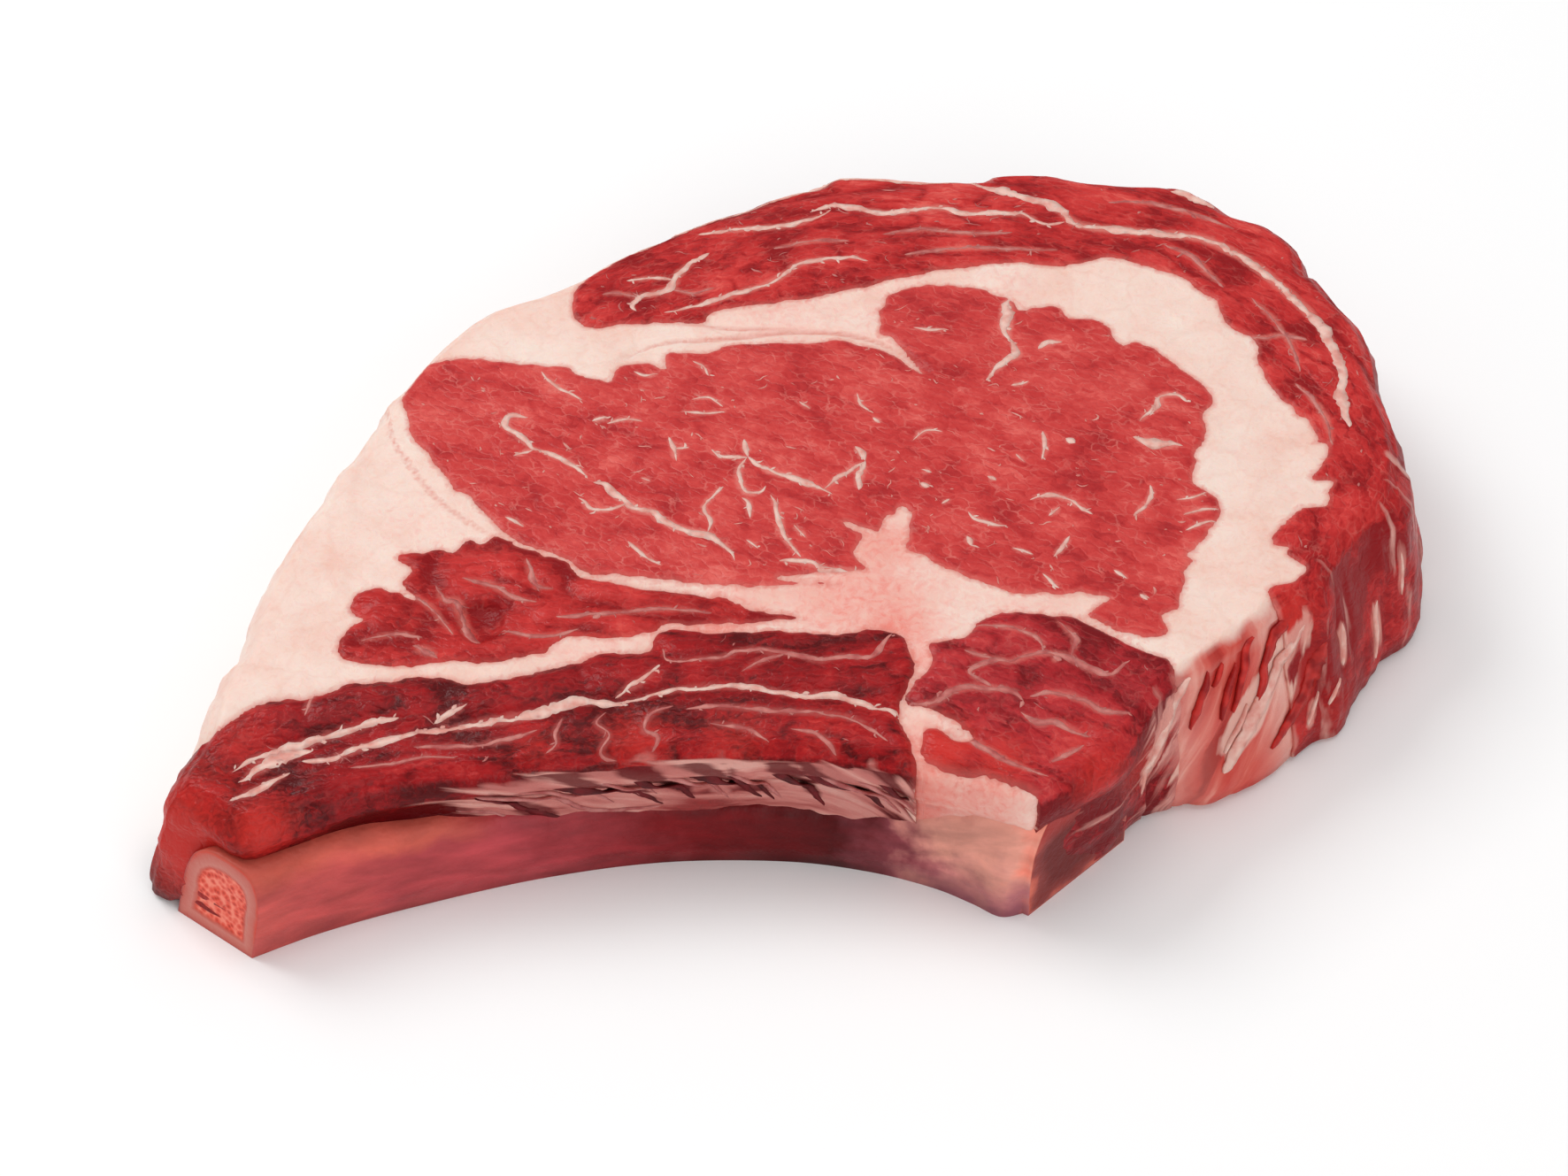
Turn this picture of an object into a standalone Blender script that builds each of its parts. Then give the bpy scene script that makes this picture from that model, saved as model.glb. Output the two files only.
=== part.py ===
"""Raw bone-in beef rib steak: one slab of meat and fat around one sawn length of rib.

The steak lies on one sawn face. X runs along the steak, from the sawn rib end to the
fat cap side. Y runs away from the rib, and Z is up. The origin is at the middle of the
footprint. Outlines are in millimetres and are turned to metres when meshes are made.
"""
import math

import bmesh
import bpy
from mathutils import Vector

MM = 0.001

# ---- driving dimensions, mm ----
THICKNESS = 30.5        # height of the upper cut face at x = 0
THICKNESS_RISE = 0.02   # the slab thickens towards the fat cap, mm for each mm of x
FRONT_DROOP = 2.6       # the upper face sinks this much towards the rib side
DROOP_FROM_Y = -36.0
DROOP_TO_Y = -56.0
EYE_CROWN = 1.1         # the round eye muscle stands up a little out of the cut
CAP_CROWN = 0.8
RIM_ROUND = 3.0         # soft rounding of the upper rim
FOOT_ROUND = 1.4        # soft rounding where the wall meets the lower cut face
WALL_BULGE = 0.7        # the side wall swells a little at half height
SEAM_GAP = 0.4          # clearance left all round the rib, so the solids never touch
PLAN_CENTRE = (4.33, 9.11)  # middle of the footprint in the outline's own coordinates

# ---- fineness ----
STEPS_PER_OUTLINE_POINT = 3
STEPS_PER_RIB_STATION = 3
FACE_RINGS = (0.90, 0.78, 0.64, 0.50, 0.36, 0.22, 0.10)
WALL_HEIGHTS = (0.30, 0.55, 0.78)

# Outline of the slab. Each row is a point of the upper rim, then how far the foot of the
# wall below it stands from it, because the soft meat spreads on what it lies on.
OUTLINE = (
    # sawn end of the rib
    (-97.5, -56.5, -6.8, -1.6),
    (-92.0, -62.6, -6.0, -1.2),
    (-86.0, -66.5, -2.0, -4.8),
    # rib side
    (-80.0, -63.8, 0.0, -1.0),
    (-70.0, -59.6, 0.0, 0.0),
    (-58.0, -56.8, 0.0, 0.0),
    (-45.0, -55.6, 0.0, 0.0),
    (-30.0, -53.8, 0.0, 0.6),
    (-15.0, -52.8, 0.0, 0.6),
    (0.0, -53.0, 0.0, 0.8),
    (12.0, -54.6, 0.0, 0.6),
    (22.0, -57.0, 0.0, -0.2),
    (30.0, -60.0, -0.5, -0.8),
    (36.5, -62.4, -0.8, -1.3),
    # chine corner
    (42.0, -61.4, -1.2, -0.6),
    (50.0, -56.2, -0.2, 0.8),
    (56.5, -50.0, -0.5, 2.2),
    (60.5, -44.6, -0.3, 1.2),
    # outer wall, which spreads most
    (67.0, -38.4, 1.5, -2.9),
    (75.0, -31.6, 3.3, -6.2),
    (83.0, -24.4, 4.4, -6.2),
    (91.0, -17.0, 5.6, -4.8),
    (98.0, -7.6, 6.2, -3.2),
    (103.6, 3.0, 6.6, -1.6),
    (106.2, 15.0, 7.2, -0.6),
    (105.4, 27.0, 5.6, 0.2),
    (104.2, 39.0, 3.8, 0.8),
    (100.2, 52.0, 2.6, 1.2),
    # back, over the fat cap
    (94.4, 65.0, 1.6, 1.2),
    (85.0, 76.0, 0.8, 1.2),
    (74.0, 84.2, 0.4, 1.2),
    (56.0, 87.6, 0.0, 1.2),
    (36.0, 88.8, 0.0, 1.2),
    (11.0, 88.6, 0.0, 1.2),
    (-4.0, 83.0, -0.4, 1.2),
    (-22.0, 73.8, -0.8, 1.2),
    (-40.0, 61.4, -1.0, 1.0),
    (-54.5, 53.6, -1.4, 1.0),
    (-65.0, 40.0, -2.0, 0.8),
    (-73.0, 23.5, -3.0, 0.8),
    (-80.4, 5.8, -4.2, 0.4),
    (-86.4, -10.0, -5.6, 0.0),
    (-89.6, -24.0, -6.6, 0.0),
    (-93.0, -37.0, -7.6, 0.0),
    (-95.4, -47.0, -8.4, -0.4),
)

# Sections of the rib, from its sawn end to the chine. Each row is the foot of its front
# face, the foot of its back face, its height, and how far its top leans along X.
RIB_STATIONS = (
    ((-86.5, -72.3), (-99.7, -62.4), 19.0, 4.0),
    ((-75.5, -67.0), (-83.5, -53.8), 18.0, 2.0),
    ((-60.0, -61.4), (-65.5, -48.0), 16.2, 0.6),
    ((-40.0, -55.6), (-43.5, -41.8), 14.4, 0.0),
    ((-20.0, -52.2), (-21.5, -38.2), 13.0, 0.0),
    ((0.0, -52.0), (0.5, -37.8), 12.6, 0.0),
    ((14.0, -54.2), (16.5, -39.6), 14.0, 0.0),
    ((24.5, -57.6), (28.5, -41.4), 18.0, 0.0),
    ((31.0, -61.0), (38.5, -42.2), 23.0, 0.0),
    ((35.6, -63.8), (48.5, -43.2), 25.4, 0.0),
    ((39.6, -63.0), (56.4, -46.8), 24.0, 0.0),
)
RIB_SQUARENESS = 2.9    # 2 is a half round, more is boxier
RIB_ARC_STEPS = 12
CUTTER_REACH = 9.0      # how far the rib's pocket is cut past the slab's own wall


def closed_curve(points, steps):
    """Catmull-Rom curve through rows of numbers, closed on itself."""
    count = len(points)
    curve = []
    for i in range(count):
        before, start, end, after = (points[(i + k) % count] for k in (-1, 0, 1, 2))
        for step in range(steps):
            curve.append(blend_rows(before, start, end, after, step / steps))
    return curve


def open_curve(points, steps):
    """Catmull-Rom curve through rows of numbers, from the first to the last."""
    last = len(points) - 1
    curve = []
    for i in range(last):
        rows = [points[min(max(i + k, 0), last)] for k in (-1, 0, 1, 2)]
        for step in range(steps):
            curve.append(blend_rows(*rows, step / steps))
    curve.append(tuple(points[-1]))
    return curve


def blend_rows(before, start, end, after, t):
    """One Catmull-Rom value for each column."""
    return tuple(
        0.5 * (2 * b + (c - a) * t + (2 * a - 5 * b + 4 * c - d) * t * t
               + (3 * b - a - 3 * c + d) * t ** 3)
        for a, b, c, d in zip(before, start, end, after))


def smooth_step(value, low, high):
    """0 at low, 1 at high, with soft ends. Low may be the larger number."""
    t = min(max((value - low) / (high - low), 0.0), 1.0)
    return t * t * (3 - 2 * t)


def mound(x, y, centre, radii):
    """A low dome of height 1 with an oval footprint."""
    reach = ((x - centre[0]) / radii[0]) ** 2 + ((y - centre[1]) / radii[1]) ** 2
    return max(0.0, 1.0 - reach) ** 0.7


def upper_face(x, y):
    """Height of the upper cut face."""
    height = THICKNESS + THICKNESS_RISE * x
    height -= FRONT_DROOP * smooth_step(y, DROOP_FROM_Y, DROOP_TO_Y)
    height += EYE_CROWN * mound(x, y, (4.0, 12.0), (74.0, 36.0))
    height += CAP_CROWN * mound(x, y, (45.0, 70.0), (62.0, 17.0))
    return height


def toward_centre(x, y, distance):
    """A plan point moved a distance towards the middle of the slab."""
    dx = PLAN_CENTRE[0] - x
    dy = PLAN_CENTRE[1] - y
    share = distance / math.hypot(dx, dy)
    return x + dx * share, y + dy * share


def slab_rings():
    """Rings of points from the lower cut face up the wall and in over the upper face."""
    outline = closed_curve(OUTLINE, STEPS_PER_OUTLINE_POINT)
    rings = []
    foot = [(x + dx, y + dy) for x, y, dx, dy in outline]
    rings.append([(*toward_centre(x, y, FOOT_ROUND), 0.0) for x, y in foot])
    rings.append([(x, y, FOOT_ROUND) for x, y in foot])
    for share in WALL_HEIGHTS:
        ring = []
        for x, y, dx, dy in outline:
            swell = -WALL_BULGE * math.sin(math.pi * share)
            wall_x, wall_y = toward_centre(x + dx * (1 - share), y + dy * (1 - share), swell)
            ring.append((wall_x, wall_y, share * (upper_face(x, y) - RIM_ROUND)))
        rings.append(ring)
    for inset, drop in ((0.0, RIM_ROUND), (0.12, 1.9), (0.8, 0.7), (2.4, 0.0)):
        ring = []
        for x, y, dx, dy in outline:
            rim_x, rim_y = toward_centre(x, y, inset)
            ring.append((rim_x, rim_y, upper_face(x, y) - drop))
        rings.append(ring)
    for share in FACE_RINGS:
        ring = []
        for x, y, dx, dy in outline:
            face_x = PLAN_CENTRE[0] + (x - PLAN_CENTRE[0]) * share
            face_y = PLAN_CENTRE[1] + (y - PLAN_CENTRE[1]) * share
            ring.append((face_x, face_y, upper_face(face_x, face_y)))
        rings.append(ring)
    return rings


def rib_section(station, grow, reach):
    """Arch over one rib station: grow thickens it, reach squares it out past the wall."""
    front_x, front_y, back_x, back_y, height, lean = station
    front = Vector((front_x, front_y))
    back = Vector((back_x, back_y))
    middle = (front + back) / 2
    half = (back - front) / 2
    outward = -half.normalized()
    points = []
    for step in range(RIB_ARC_STEPS + 1):
        angle = math.pi * step / RIB_ARC_STEPS
        across = -math.copysign(abs(math.cos(angle)) ** (2 / RIB_SQUARENESS), math.cos(angle))
        rise = math.sin(angle) ** (2 / RIB_SQUARENESS) if 0 < step < RIB_ARC_STEPS else 0.0
        plan = middle + half.normalized() * across * (half.length + grow)
        if reach and across < 0:
            plan = middle + outward * (-across) * (half.length + reach)
            rise = 1.0 if step else 0.0
        z = rise * (height + grow)
        points.append((plan.x + lean * z / height, plan.y, z))
    if reach:
        points.insert(0, (*points[0][:2], -reach))
        points.append((*points[-1][:2], -reach))
    return points


def rib_rings(grow=0.0, reach=0.0):
    """Sections all along the rib, with run-out at both ends when it is a cutter."""
    rows = [(*front, *back, height, lean) for front, back, height, lean in RIB_STATIONS]
    rows = open_curve(rows, STEPS_PER_RIB_STATION)
    rings = [rib_section(row, grow, reach) for row in rows]
    if reach:
        sawn_way = plan_way(rings[2], rings[0])
        chine_way = plan_way(rings[-2], rings[-1])
        rings.insert(0, moved(rings[0], sawn_way, reach))
        rings.append(moved(rings[-1], chine_way, reach))
    return rings


def plan_way(start_ring, end_ring):
    """Direction in plan from one section's middle to another's."""
    start = sum((Vector(p[:2]) for p in start_ring), Vector((0, 0))) / len(start_ring)
    end = sum((Vector(p[:2]) for p in end_ring), Vector((0, 0))) / len(end_ring)
    return (end - start).normalized()


def moved(ring, way, distance):
    """A copy of a section, moved in plan."""
    return [(x + way.x * distance, y + way.y * distance, z) for x, y, z in ring]


def add_rings(bm, rings):
    """Vertices of every ring, in metres about the footprint's middle."""
    return [[bm.verts.new(((x - PLAN_CENTRE[0]) * MM, (y - PLAN_CENTRE[1]) * MM, z * MM))
             for x, y, z in ring] for ring in rings]


def join_rings(bm, rings):
    """Quads between neighbouring rings of equal length."""
    for low, high in zip(rings, rings[1:]):
        count = len(low)
        for i in range(count):
            j = (i + 1) % count
            bm.faces.new((low[i], low[j], high[j], high[i]))


def finish(bm, name, material):
    """Turn a closed bmesh into a named object with outward faces."""
    bmesh.ops.triangulate(bm, faces=[face for face in bm.faces if len(face.verts) > 4])
    bmesh.ops.recalc_face_normals(bm, faces=bm.faces)
    mesh = bpy.data.meshes.new(name)
    bm.to_mesh(mesh)
    bm.free()
    mesh.shade_smooth()
    mesh.materials.append(material)
    piece = bpy.data.objects.new(name, mesh)
    bpy.context.scene.collection.objects.link(piece)
    return piece


def make_slab(material):
    """The meat and fat as one solid, still without the rib's pocket."""
    bm = bmesh.new()
    rings = add_rings(bm, slab_rings())
    join_rings(bm, rings)
    bm.faces.new(rings[0])
    hub_height = upper_face(*PLAN_CENTRE) * MM
    hub = bm.verts.new((0.0, 0.0, hub_height))
    inner = rings[-1]
    for i, corner in enumerate(inner):
        bm.faces.new((corner, inner[(i + 1) % len(inner)], hub))
    return finish(bm, "meat", material)


def make_rib(name, material, grow=0.0, reach=0.0):
    """The rib, or the larger cutter that makes room for it."""
    bm = bmesh.new()
    rings = add_rings(bm, rib_rings(grow, reach))
    join_rings(bm, rings)
    bm.faces.new(rings[0])
    bm.faces.new(rings[-1])
    return finish(bm, name, material)


def plain_material(name, colour, roughness):
    """Principled material of one colour."""
    material = bpy.data.materials.new(name)
    material.use_nodes = True
    shader = material.node_tree.nodes["Principled BSDF"]
    shader.inputs["Base Color"].default_value = (*colour, 1.0)
    shader.inputs["Roughness"].default_value = roughness
    shader.inputs["Metallic"].default_value = 0.0
    return material


def main():
    """Build the slab, cut the rib's pocket out of it and lay the rib in."""
    for thing in list(bpy.data.objects):
        bpy.data.objects.remove(thing, do_unlink=True)
    meat_red = plain_material("raw_beef", (0.46, 0.06, 0.06), 0.38)
    bone_pink = plain_material("raw_bone", (0.52, 0.17, 0.14), 0.5)
    meat = make_slab(meat_red)
    make_rib("rib_bone", bone_pink)
    pocket = make_rib("rib_pocket", bone_pink, grow=SEAM_GAP, reach=CUTTER_REACH)
    pocket.hide_render = True
    pocket.display_type = "WIRE"
    cut = meat.modifiers.new("rib pocket", "BOOLEAN")
    cut.operation = "DIFFERENCE"
    cut.solver = "EXACT"
    cut.object = pocket


main()
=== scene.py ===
import math
from functools import partial

import bmesh
import bpy
import numpy as np
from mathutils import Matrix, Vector


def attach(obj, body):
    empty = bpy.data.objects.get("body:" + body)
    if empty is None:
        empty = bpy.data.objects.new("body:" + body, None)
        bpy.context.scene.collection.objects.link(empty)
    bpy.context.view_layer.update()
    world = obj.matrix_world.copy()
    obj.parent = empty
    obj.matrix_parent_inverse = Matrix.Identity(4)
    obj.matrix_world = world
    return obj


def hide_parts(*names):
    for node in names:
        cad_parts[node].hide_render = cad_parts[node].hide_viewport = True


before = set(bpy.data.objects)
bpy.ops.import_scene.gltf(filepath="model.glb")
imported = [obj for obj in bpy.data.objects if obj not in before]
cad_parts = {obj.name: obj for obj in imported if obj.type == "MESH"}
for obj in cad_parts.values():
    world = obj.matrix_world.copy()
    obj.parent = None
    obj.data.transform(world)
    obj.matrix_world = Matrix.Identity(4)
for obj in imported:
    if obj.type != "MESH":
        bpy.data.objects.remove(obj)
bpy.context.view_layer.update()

# A raw bone-in beef rib steak, lying on one sawn face. Plan points are in millimetres in
# the steak's drawing frame, whose middle is PLAN_CENTRE; X runs along the steak from the
# sawn rib end to the fat cap, and Y away from the rib. Meshes end up in metres.
MM = 0.001
PLAN_CENTRE = np.array((4.33, 9.11))
FACE_CELL = 0.58    # spacing of the cuts over a muscle's face
FAT_CELL = 0.84     # the fat is smoother, so its cuts are wider
WALL_RINGS = 21
FLECK_SAVING = 1

# ---- the cut slab's own form, mm ----
THICKNESS = 30.5
THICKNESS_RISE = 0.02
FRONT_DROOP = 2.6
DROOP_Y = (-36.0, -56.0)
EYE_CROWN = (1.1, (4.0, 12.0), (74.0, 36.0))
CAP_CROWN = (0.8, (45.0, 70.0), (62.0, 17.0))
RIM_DROP = 1.7          # how far the rim is rounded off
RIM_REACH = 2.8
LEAN_REACH = 22.0       # the foot's spread dies out this far in from the rim
SWELL_REACH = 6.0
RIM_ROUNDING = 0.9      # the wall draws in this far just under the rim
FOOT_ROUNDING = 0.7     # and this far at the foot
RIB_SOCKET = 1.5        # the fat stays this far off the board where the rib lies
SOLE_ROUNDING = 0.9
SOLE = 0.35             # the fat's lower face stands this far off the board
MUSCLE_RISE = 0.36      # a cut muscle stands this proud of the fat beside it
MUSCLE_DIP = 0.16       # and its border dives this far under the fat
MUSCLE_SHOULDER = 0.9
FAT_SINK = 1.6          # the fat's own face drops away under a muscle
WALL_SKIN = 0.45        # a muscle in the outer wall stands this proud of the fat there
FAT_TUCK = 0.9          # the fat's wall is tucked in this much more behind a muscle
NOWHERE = -99.0         # a coordinate or depth that is out of every strand's reach
FAR = 9.0               # a gap to the nearest strand that is too wide to matter
NO_LENGTH = 1e-6
PATH_STEPS = 4          # points from one corner of a listed path to the next
OUTLINE_STEPS = 3

# Upper rim of the slab, clockwise from the sawn rib end.
RIM = (
    (-98, -58.5), (-97.5, -53.5), (-95.3, -49), (-94.7, -45), (-94.3, -40.5), (-93.1, -36.8),
    (-92.3, -33), (-90.2, -30.2), (-89.5, -23.6), (-88.5, -17), (-86.5, -10), (-84.6, -4.5),
    (-82.3, 1.5), (-80.2, 5.8), (-78.3, 12.3), (-76, 16), (-74.4, 20), (-73, 23.5), (-71.6, 26.4),
    (-71, 30), (-68, 34.3), (-65, 40), (-60, 47.5), (-54.3, 53.8), (-50.2, 56.2), (-44.7, 58.8),
    (-40, 61.3), (-36.7, 63.7), (-33.3, 67), (-29.5, 69.8), (-21.3, 74), (-13.4, 78.4), (-7.3, 80.7),
    (-3.4, 83.2), (2.3, 85.2), (6.3, 86.2), (10, 89.4), (20, 89.2), (27, 88.4), (37, 88.4), (40, 89.8),
    (49.5, 89.6), (55.5, 87), (61, 86), (70, 85.4), (75, 84.5), (79.3, 81), (82.9, 76.3), (87.6, 74.2),
    (90.4, 72), (94.3, 66.5), (94.9, 60.4), (97, 59.3), (100.2, 52), (103.5, 45.7), (104.6, 38),
    (104.6, 30.7), (105.8, 24), (106.6, 19), (106.6, 13), (106, 8.5), (105.6, 3.6), (103, -1),
    (97.7, -5.6), (93, -13.5), (89.6, -20), (86, -21), (82, -24.5), (79.5, -27.5), (75, -31.5),
    (71, -35.5), (66.5, -38.5), (62.5, -41.5), (60, -45.5), (57.5, -50), (54.5, -54), (46, -60),
    (41, -62.5), (36, -61.5), (30, -59), (22, -57), (12, -54.6), (0, -53), (-15, -52.8), (-30, -53.8),
    (-45, -55.6), (-58, -56.8), (-70, -59.6), (-80, -63.8), (-86, -66.5), (-92, -62.6),
)

# How far the foot of the wall stands from the rim: rim x, rim y, foot dx, foot dy.
FOOT = (
    (-97.5, -56.5, -6.8, -1.6), (-92, -62.6, -6, -1.2), (-86, -66.5, -2, -4.8), (-80, -63.8, 0, -1),
    (-70, -59.6, 0, 0), (-45, -55.6, 0, 0), (-15, -52.8, 0, 0.6), (0, -53, 0, 0.8), (12, -54.6, 0, 0.6),
    (22, -57, 0, -0.2), (30, -60, -0.5, -0.8), (36.5, -62.4, -0.8, -1.3), (42, -61.4, -1.2, -0.6),
    (50, -56.2, -0.2, 0.8), (56.5, -50, -0.5, 2.2), (60.5, -44.6, -0.3, 1.2), (67, -38.4, 1.5, -2.9),
    (75, -31.6, 3.3, -6.2), (83, -24.4, 4.4, -6.2), (91, -17, 5.6, -4.8), (98, -7.6, 6.2, -3.2),
    (103.6, 3, 6.6, -1.6), (106.2, 15, 7.2, -0.6), (105.4, 27, 5.6, 0.2), (104.2, 39, 3.8, 0.8),
    (100.2, 52, 2.6, 1.2), (94.4, 65, 1.6, 1.2), (85, 76, 0.8, 1.2), (74, 84.2, 0.4, 1.2),
    (56, 87.6, 0, 1.2), (11, 88.6, 0, 1.2), (-4, 83, -0.4, 1.2), (-22, 73.8, -0.8, 1.2),
    (-40, 61.4, -1, 1), (-54.5, 53.6, -1.4, 1), (-65, 40, -2, 0.8), (-73, 23.5, -3, 0.8),
    (-80.4, 5.8, -4.2, 0.4), (-86.4, -10, -5.6, 0), (-89.6, -24, -6.6, 0), (-93, -37, -7.6, 0),
    (-95.4, -47, -8.4, -0.4),
)

# How the outer wall was torn or cut: rim x, rim y, roughness in mm, share of membrane,
# how far it is cut back behind the rib's face, and how its strands lean.
WALL_ZONES = (
    (-98, -56, 0.6, 0, 0.3, 0.3), (-94.5, -45, 0.4, 0, 0, 0.3), (-88.5, -17, 0.25, 0, 0, 0.2),
    (-76, 16, 0.25, 0, 0, 0.2), (-60, 47.5, 0.3, 0, 0, 0.2), (-30, 69, 0.4, 0.1, 0, 0.2),
    (20, 89, 0.7, 0.2, 0, 0.3), (75, 84, 0.9, 0.22, 0, 0.3), (100, 52, 1.1, 0.16, 0, 0.3),
    (106.5, 13, 1.2, 0.3, 0, 0.2), (90, -19, 1.2, 0.1, 0, 0.1), (76, -31, 1.1, 1, 0, 0.45),
    (64, -41, 0.8, 0.7, 0, 0.45), (56, -51, 0.6, 0.2, 1.2, 0.3), (48, -58, 0.5, 0.1, 2.2, 0.3),
    (41, -62.5, 0.3, 0, 1.6, 0.2), (34, -60.5, 0.2, 0, 1.2, 0), (24, -57.6, 0.3, 0.4, 1.9, 0),
    (12, -54.6, 0.45, 1.3, 3, 0), (0, -53, 0.45, 1.4, 3.2, 0), (-30, -54, 0.5, 1.4, 2.8, 0),
    (-48, -56, 0.6, 0.9, 1.8, 0), (-58, -56.8, 0.8, 0.2, 1.6, 0), (-70, -59.6, 1, 0, 1.8, 0),
    (-84, -65.5, 0.8, 0, 1.4, 0), (-92, -62.6, 0.5, 0, 0.9, 0.3),
)

EYE = (
    (-68.2, 31.3), (-67, 27), (-65, 19.7), (-61.5, 13.8), (-58, 8.6), (-57, 5.6), (-54.5, 4.5),
    (-50.3, -1.6), (-46, -6), (-43.3, -8.3), (-39.5, -9.5), (-36.5, -11.3), (-34.5, -13.5),
    (-31, -14.7), (-27, -15), (-20, -16), (-13, -17.5), (-6.4, -18.2), (-2, -18), (4.8, -18),
    (9.6, -17.6), (-1, -16), (13.2, -15), (12.8, -12.8), (12, -10.7), (12.8, -9), (13.3, -7.5),
    (12.8, -5.8), (10.4, -3.8), (14.5, -5), (15.7, -6), (17, -4.3), (17.9, -1.9), (18.3, -2.7),
    (19.2, -1), (20, 0.2), (21, -0.8), (21.7, -1.5), (21, -3.7), (20.9, -7.2), (20.4, -9),
    (21.4, -10.4), (23.8, -11.8), (25.7, -13.2), (28.2, -14.7), (30.2, -16), (33, -17.7), (36, -19.1),
    (38.9, -20.2), (44, -20.1), (50.3, -20.5), (54, -21.2), (53, -22.5), (50.3, -24.6), (49.6, -25.5),
    (51, -26), (52.8, -27.6), (54.3, -29), (56.7, -30), (59.5, -30.6), (62.6, -30.3), (63.7, -28.8),
    (63.4, -27), (62.9, -25.5), (65.5, -24.4), (66, -22.3), (66.6, -20), (67.1, -17), (67.6, -15),
    (69.5, -12.4), (68, -11.2), (69.8, -9.6), (72.4, -6), (73.9, -4), (74.7, -1.2), (74.5, 1),
    (72.9, 3), (71.3, 4.7), (70.6, 6.5), (70.8, 8.9), (71.5, 10.6), (71.4, 12.3), (72.7, 15),
    (73.5, 18.6), (73.8, 22), (75.4, 26.8), (74, 30.1), (71.8, 32.9), (68.9, 36.3), (65.8, 40),
    (62.5, 41.5), (59.9, 41), (58.5, 46), (55.5, 48), (51.7, 48.5), (49.7, 51.3), (45.6, 51.9),
    (42.8, 50.5), (41.2, 53), (36.7, 55.5), (32.4, 57), (28.2, 57.4), (23.9, 57), (20.4, 56),
    (18.3, 54.6), (17.2, 50.9), (16.9, 47.1), (17.2, 44.5), (19.6, 42.3), (24.2, 33.8), (21.2, 37.5),
    (19.1, 39.4), (15, 41), (10, 43), (2, 42), (-3.7, 42.8), (-10.4, 42), (-13.4, 40.2), (-20.9, 40.3),
    (-21.3, 36.1), (-23.4, 37.4), (-26.3, 37.5), (-30, 36.4), (-30.8, 32.6), (-31.7, 32.6),
    (-36.5, 34.6), (-37.7, 36.2), (-39.8, 37), (-45, 38), (-50, 38.8), (-55.7, 40), (-60.3, 40),
    (-64.6, 39),
)
TAIL = (
    (-45.7, -6.5), (-47.2, -6), (-48.9, -5.1), (-50.5, -6.2), (-52.1, -6.8), (-53.6, -5.7),
    (-56.2, -8.2), (-58.1, -7.6), (-61.8, -8.7), (-63.8, -8.5), (-65.5, -9.7), (-63, -12.7),
    (-64.7, -15.4), (-61.7, -19.3), (-64.9, -17.5), (-68.6, -16.5), (-72.3, -19.2), (-72.8, -21.9),
    (-70, -23.8), (-71.9, -25.3), (-73, -26.6), (-74.1, -28.1), (-73.6, -29.7), (-74.5, -31),
    (-73.9, -32), (-72.2, -33.3), (-69.9, -33.5), (-66.7, -34.3), (-62.5, -34.9), (-57.9, -34.1),
    (-52.4, -34), (-49.2, -34.3), (-46.1, -34), (-43, -33), (-40.6, -32.2), (-38.7, -31.8),
    (-38.4, -30.3), (-37.2, -29), (-33.6, -28.5), (-29.7, -29), (-25.1, -28.6), (-21.2, -27.6),
    (-19.3, -25.8), (-14, -26.4), (-6.7, -26.2), (-2.8, -25.7), (3.7, -25), (-0.4, -23.5),
    (-3.6, -23.2), (-6.7, -22.1), (-10, -20), (-14, -19.2), (-19.3, -17.9), (-24, -17.1),
    (-29.8, -15.9), (-34.4, -14.1), (-36.8, -11.5), (-39.2, -10), (-41.6, -9.1), (-44, -7.7),
)
# The muscles below reach the outer wall: their inner border, from rim to rim.
CAP_BORDER = (
    (-21.3, 74), (-24, 71.2), (-30, 67.4), (-35, 63.2), (-37.6, 59.6), (-38.5, 55.5), (-38.2, 50.3),
    (-36.9, 48.1), (-34.3, 47.2), (-28.8, 47.7), (-20, 48.5), (-14.8, 48.6), (-13, 51), (-5, 53),
    (0, 54), (10, 55.8), (16.6, 57.7), (24, 59.4), (30, 60.8), (36.8, 61.9), (43.3, 62.6), (49.4, 61.4),
    (54, 62.2), (60, 63.4), (65.7, 61), (70.7, 59.4), (74.2, 55.8), (77.6, 51.8), (79.1, 45.5),
    (82.9, 42.2), (84.3, 39.7), (83.9, 35.3), (85.3, 30.4), (86.2, 28), (87.2, 26), (88.7, 24.5),
    (89.7, 21.9), (91.3, 21.2), (91.9, 17.8), (92, 15.5), (90.8, 15.2), (93.8, 14.8), (93.8, 12),
    (92.4, 9.8), (90.6, 6.4), (92.8, 5.7), (94, 5.2), (92.5, 3), (92.8, 1.3), (91.2, -0.4),
    (88.4, -0.8), (86, -2.5), (84, -5.2), (82.3, -8.1), (82.3, -10), (84.8, -10.4), (84.5, -11.5),
    (85.8, -13.2), (87.5, -15), (86.3, -17.2), (85.4, -18.9), (81.9, -19.4), (80.7, -21), (82.6, -24.2),
)
STRIP_BORDER = (
    (21.1, -57.2), (21.2, -52.8), (20.7, -50.4), (19.8, -48.8), (19, -44.6), (20.4, -41), (21.6, -38),
    (21.3, -35), (20.6, -31.8), (20, -29.6), (17.2, -28), (14.8, -27.4), (9.7, -28.5), (5, -28.3),
    (-0.8, -27.8), (-12.5, -27.5), (-19.6, -27.2), (-22, -29.6), (-22.3, -31.2), (-29.7, -31.8),
    (-33.7, -33.5), (-36.8, -34.2), (-40.7, -35.2), (-44.6, -36.5), (-48.6, -37.5), (-52.5, -37.7),
    (-58.9, -36.6), (-65.9, -37.3), (-69.7, -37.6), (-72.4, -38.5), (-74.6, -39.5), (-78.4, -40.6),
    (-83.3, -41), (-86.3, -42), (-88.5, -43.6), (-91, -45), (-94.8, -48),
)
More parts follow.
